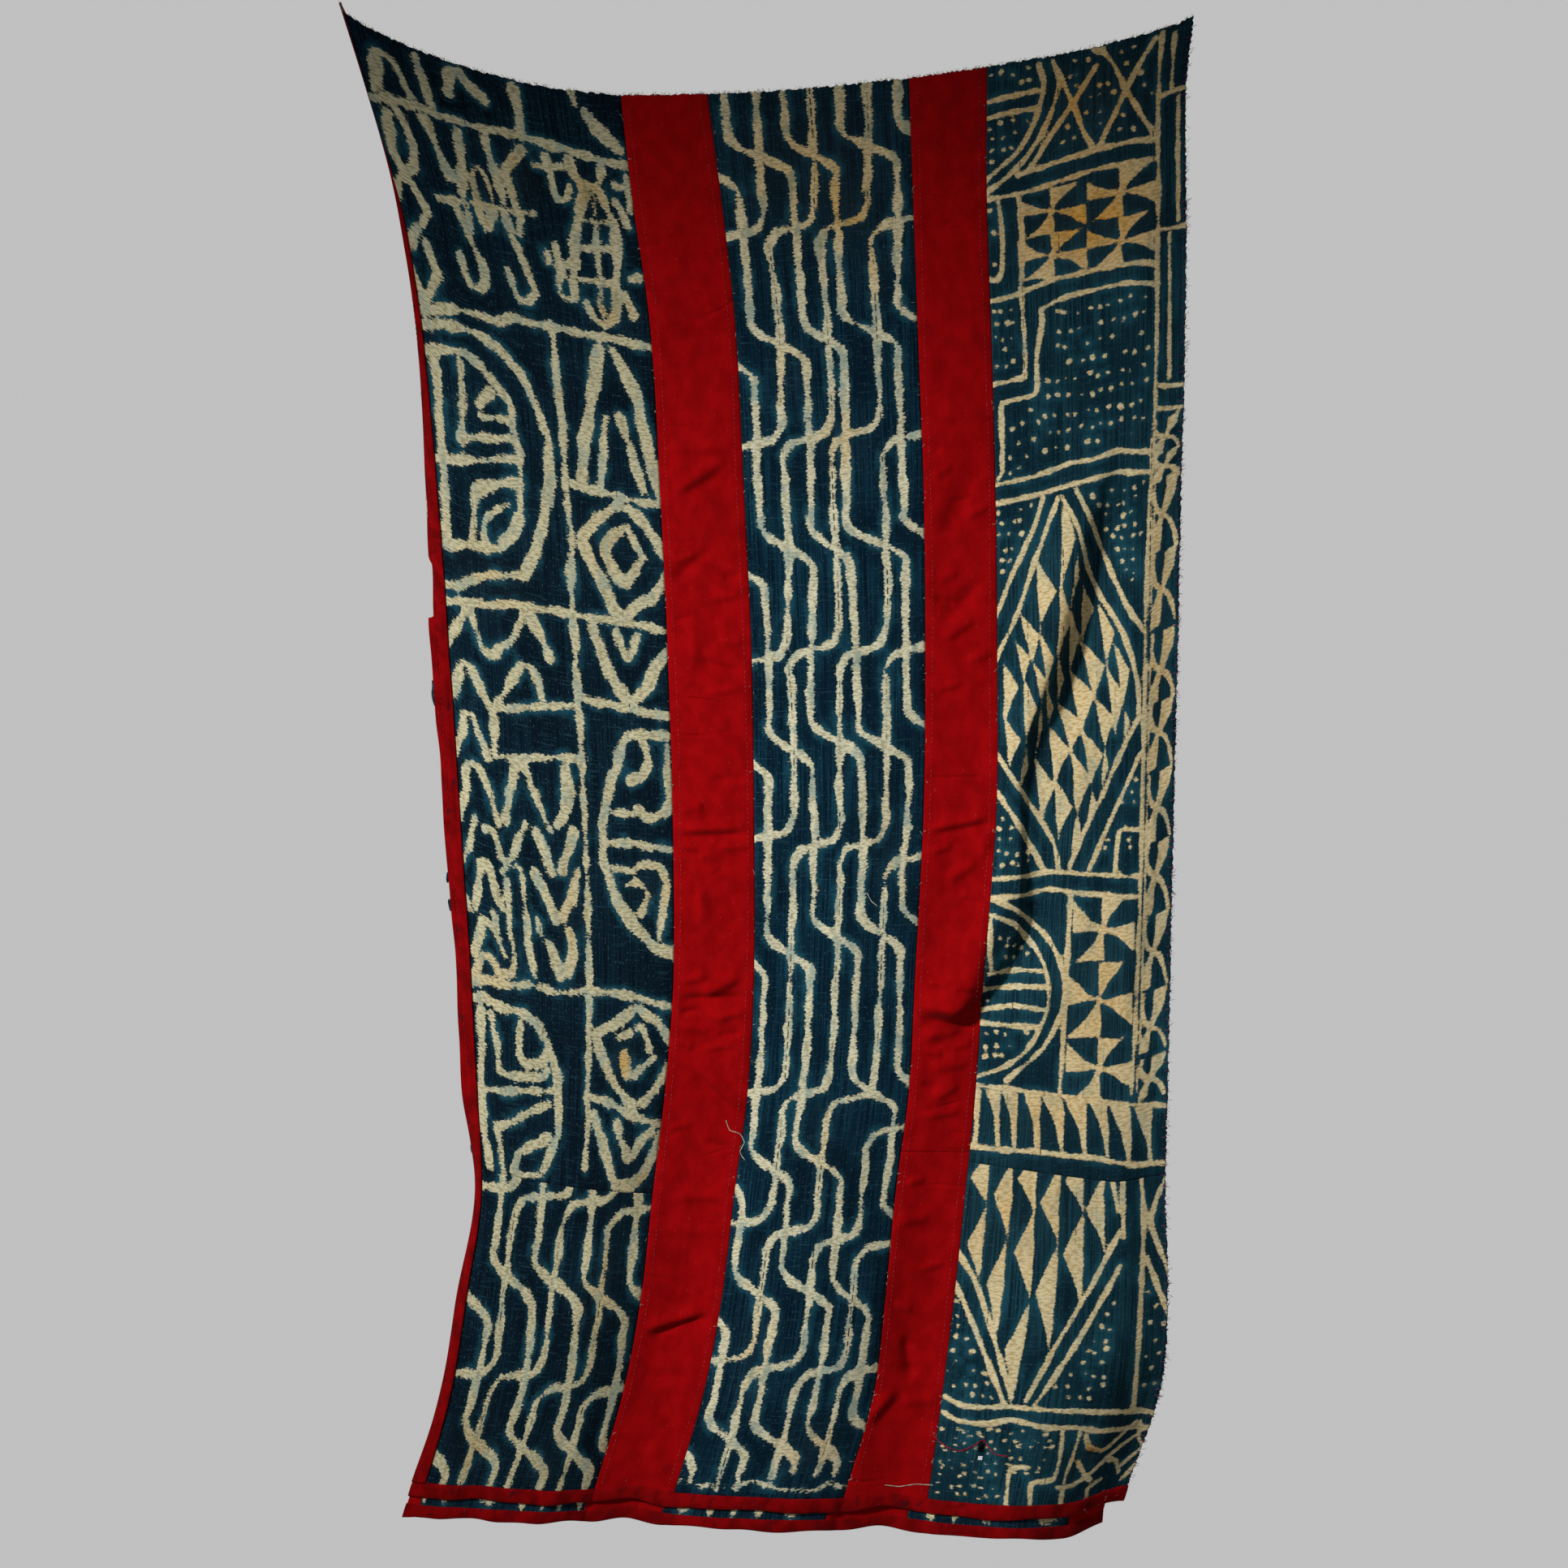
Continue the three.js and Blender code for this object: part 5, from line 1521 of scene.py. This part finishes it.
stitch_paths = np.concatenate([
    stitch_line(LEFT_STRIP_AT + 8.5, 12, LENGTH - 8, 5.6, 3.4),
    stitch_line(MIDDLE_PANEL_AT - 8.5, 16, LENGTH - 8, 5.6, 3.4),
    stitch_line(RIGHT_STRIP_AT + 8.5, 12, LENGTH - 8, 5.6, 3.4),
    stitch_line(RIGHT_PANEL_AT - 8.5, 15, LENGTH - 8, 5.6, 3.4)])
tubes("topstitch", stitch_paths, 0.27, 4, pink_thread)
tubes(
    "binding_stitches", stitch_line(7.5, 330, LENGTH - 8, 6.4, 3.6, 4.0), 0.3, 4, red_thread)

# %% Frayed top edge, thread ends along the seams
def fringe_paths(across, down, sideways, downward, lift, steps=4):
    """Short curved fibres: from a place on the cloth, bending by a square law to one side and down or up."""
    share = np.linspace(0, 1, steps)
    a = across[:, None] + sideways[:, None] * share ** 2
    d = down[:, None] + downward[:, None] * share
    return lifted(a, d, lift[:, None] * share + 0.5)


count = 900
fray = fringe_paths(
    chance.uniform(2, WIDTH - 1, count), np.full(count, 1.2), chance.normal(0, 1.4, count),
    -chance.uniform(1.5, 5.5, count), chance.normal(0, 0.8, count))
tubes("top_fray", fray, 0.22, 3, pale_thread)
seams = np.array([LEFT_STRIP_AT, MIDDLE_PANEL_AT, RIGHT_STRIP_AT, RIGHT_PANEL_AT], float)
count = 260
ends = fringe_paths(
    chance.choice(seams, count) + chance.normal(0, 1.2, count), chance.uniform(20, LENGTH - 10, count),
    chance.normal(0, 2.4, count), chance.normal(0, 2.6, count), chance.uniform(0.6, 2.0, count))
tubes("seam_thread_ends", ends, 0.25, 3, pale_thread)

# %% Overcast and loose ends of the right edge
count = 150
wrap_down = np.linspace(20, LENGTH - 20, count) + chance.uniform(-3, 3, count)
share = np.linspace(0, 1, 7)
wrap_across = WIDTH - 6 + 7.0 * np.sin(np.pi * share)[None, :] + chance.uniform(-1, 0.4, (count, 1))
wrap_fall = wrap_down[:, None] + chance.uniform(2, 6, (count, 1)) * share
wraps = lifted(wrap_across, wrap_fall, np.broadcast_to(1.3 * np.cos(np.pi * share), wrap_across.shape))
tubes("edge_wraps", wraps, 0.45, 4, purple_thread)
count = 240
edge_ends = fringe_paths(
    np.full(count, WIDTH - 1.0), chance.uniform(8, LENGTH - 6, count), chance.uniform(1, 7, count),
    chance.normal(2, 5, count), chance.normal(0, 1.5, count), 5)
tubes("edge_fray", edge_ends, 0.28, 3, purple_thread)
count = 220
pale_ends = fringe_paths(
    np.full(count, WIDTH - 1.5), chance.uniform(8, LENGTH - 6, count), chance.uniform(1, 6, count),
    chance.normal(1, 4, count), chance.normal(0, 1.5, count), 5)
tubes("pale_fray", pale_ends, 0.3, 3, pale_thread)

# %% Slips of the panel's own edge that peep out beside the binding
blue_thread = thread_finish("blue_thread", paint(40, 70, 86), paint(8, 24, 36))
slip_ends = np.array([(404, 438), (768, 796), (983, 996), (1014, 1027), (1290, 1300)], float)
slip_share = np.linspace(0, 1, 7)
slip_down = slip_ends[:, :1] + (slip_ends[:, 1:] - slip_ends[:, :1]) * slip_share
slip_across = -2.2 + 0.8 * np.sin(slip_down / 3.7)
tubes("binding_slips", lifted(slip_across, slip_down, np.full(slip_down.shape, 2.6)), 1.5, 6,
      blue_thread)
pale_slip_down = np.array([(422, 452), (559, 586)], float)
pale_slip_down = pale_slip_down[:, :1] + np.diff(pale_slip_down) * slip_share
pale_slip_across = -1.6 + 0.7 * np.sin(pale_slip_down / 4.1)
tubes("pale_slips", lifted(pale_slip_across, pale_slip_down, np.full((2, 7), 3.2)), 1.1, 6,
      pale_thread)

# %% Single threads that lie loose
def lying_thread(name, places, radius, finish, lift=1.3, per=8):
    """One thread over the cloth: a hand's curve through flat places, at a steady height above the cloth."""
    path = flow(places, per)
    rise = lift + 0.4 * np.sin(np.arange(len(path)) * 0.7)
    return tubes(name, lifted(path[:, 0], path[:, 1], rise)[None], radius, 6, finish)


lying_thread(
    "strip_curl", [(368, 1224), (374, 1236), (386, 1240), (394, 1250), (390, 1262), (398, 1271)], 0.5,
    pale_thread)
lying_thread(
    "hole_thread", [(RIGHT_PANEL_AT + u, v) for u, v in
                    [(-6, 1592), (8, 1604), (26, 1610), (41, 1603), (50, 1596), (57, 1603), (66, 1611),
                     (80, 1613)]], 0.6, red_thread)
lying_thread(
    "middle_thread", [(534, 954), (540, 964), (548, 970)], 0.5, pale_thread)
lying_thread(
    "strip_thread", [(642, 1654), (658, 1656), (676, 1652), (694, 1652)], 0.45, pale_thread)
count = 26
loops = fringe_paths(
    chance.uniform(WIDTH - 60, WIDTH - 2, count), chance.uniform(LENGTH, LENGTH + 12, count),
    chance.normal(2, 5, count), chance.normal(3, 5, count), chance.uniform(0.5, 4, count), 6)
tubes("hem_thread_ends", loops, 0.4, 4, pink_thread)

# %% [markdown]
# ## Floor, light and camera
# The cloth hangs free, so the pale floor lies well below the hem. A broad soft lamp stands to the upper
# left, and an even grey sky fills the shadows. The camera looks straight at the cloth with a long lens.

# %% Pale floor
FLOOR_HEIGHT = -2.2
floor_mesh = bpy.data.meshes.new("floor")
floor_mesh.from_pydata(
    [(x, y, FLOOR_HEIGHT) for x, y in ((-2.4, -2.4), (2.4, -2.4), (2.4, 1.9), (-2.4, 1.9))],
    [], [(0, 1, 2, 3)])
floor = bpy.data.objects.new("floor", floor_mesh)
bpy.context.scene.collection.objects.link(floor)
floor_finish = Finish("floor_finish")
floor_finish.shader.inputs["Base Color"].default_value = paint(206, 206, 204)
floor_finish.shader.inputs["Roughness"].default_value = 0.85
floor_mesh.materials.append(floor_finish.material)
print("floor at", FLOOR_HEIGHT, "m")

# %% Light
SKY = 0.53
FILL = 0.16
world = bpy.data.worlds.new("studio")
world.use_nodes = True
sky = world.node_tree.nodes["Background"]
sky.inputs["Color"].default_value = (SKY, SKY, SKY, 1)
bpy.context.scene.world = world
# The sky is seen at its full grey, but lights the cloth much less, so that the lamp can shape the folds.
rays = world.node_tree.nodes.new("ShaderNodeLightPath")
dim = world.node_tree.nodes.new("ShaderNodeMapRange")
dim.inputs["To Min"].default_value = FILL / SKY
world.node_tree.links.new(rays.outputs["Is Camera Ray"], dim.inputs["Value"])
world.node_tree.links.new(dim.outputs["Result"], sky.inputs["Strength"])


def soft_spot(name, place, target, angle, radius, power):
    """A lamp with a wide soft rim that faces a target, as a softbox with a grid does."""
    lamp = bpy.data.lights.new(name, "SPOT")
    lamp.energy, lamp.shadow_soft_size = power, radius
    lamp.spot_size, lamp.spot_blend = np.radians(angle), 1.0
    holder = bpy.data.objects.new(name, lamp)
    away = np.array(target, float) - np.array(place, float)
    yaw, pitch = np.arctan2(away[0], away[1]), np.arctan2(-away[2], np.hypot(away[0], away[1]))
    holder.location = place
    holder.rotation_euler = (np.pi / 2 - pitch, 0, -yaw)
    bpy.context.scene.collection.objects.link(holder)
    return holder


soft_spot("key", (-2.2, -2.6, 0.4), (0.24, 0.0, -1.14), 38, 0.25, 465)
bpy.context.scene.view_settings.view_transform = "Standard"
print("sky", SKY, "fill", FILL, "and one key lamp")

# %% Camera
lens = bpy.data.cameras.new("camera")
lens.lens, lens.sensor_width = 85, 36
camera = bpy.data.objects.new("camera", lens)
camera.location = (0.020, -4.356, -0.8156)
camera.rotation_euler = (np.pi / 2, 0, 0)
bpy.context.scene.collection.objects.link(camera)
bpy.context.scene.camera = camera
print("camera", -camera.location.y, "m in front, with a lens of", lens.lens, "mm")
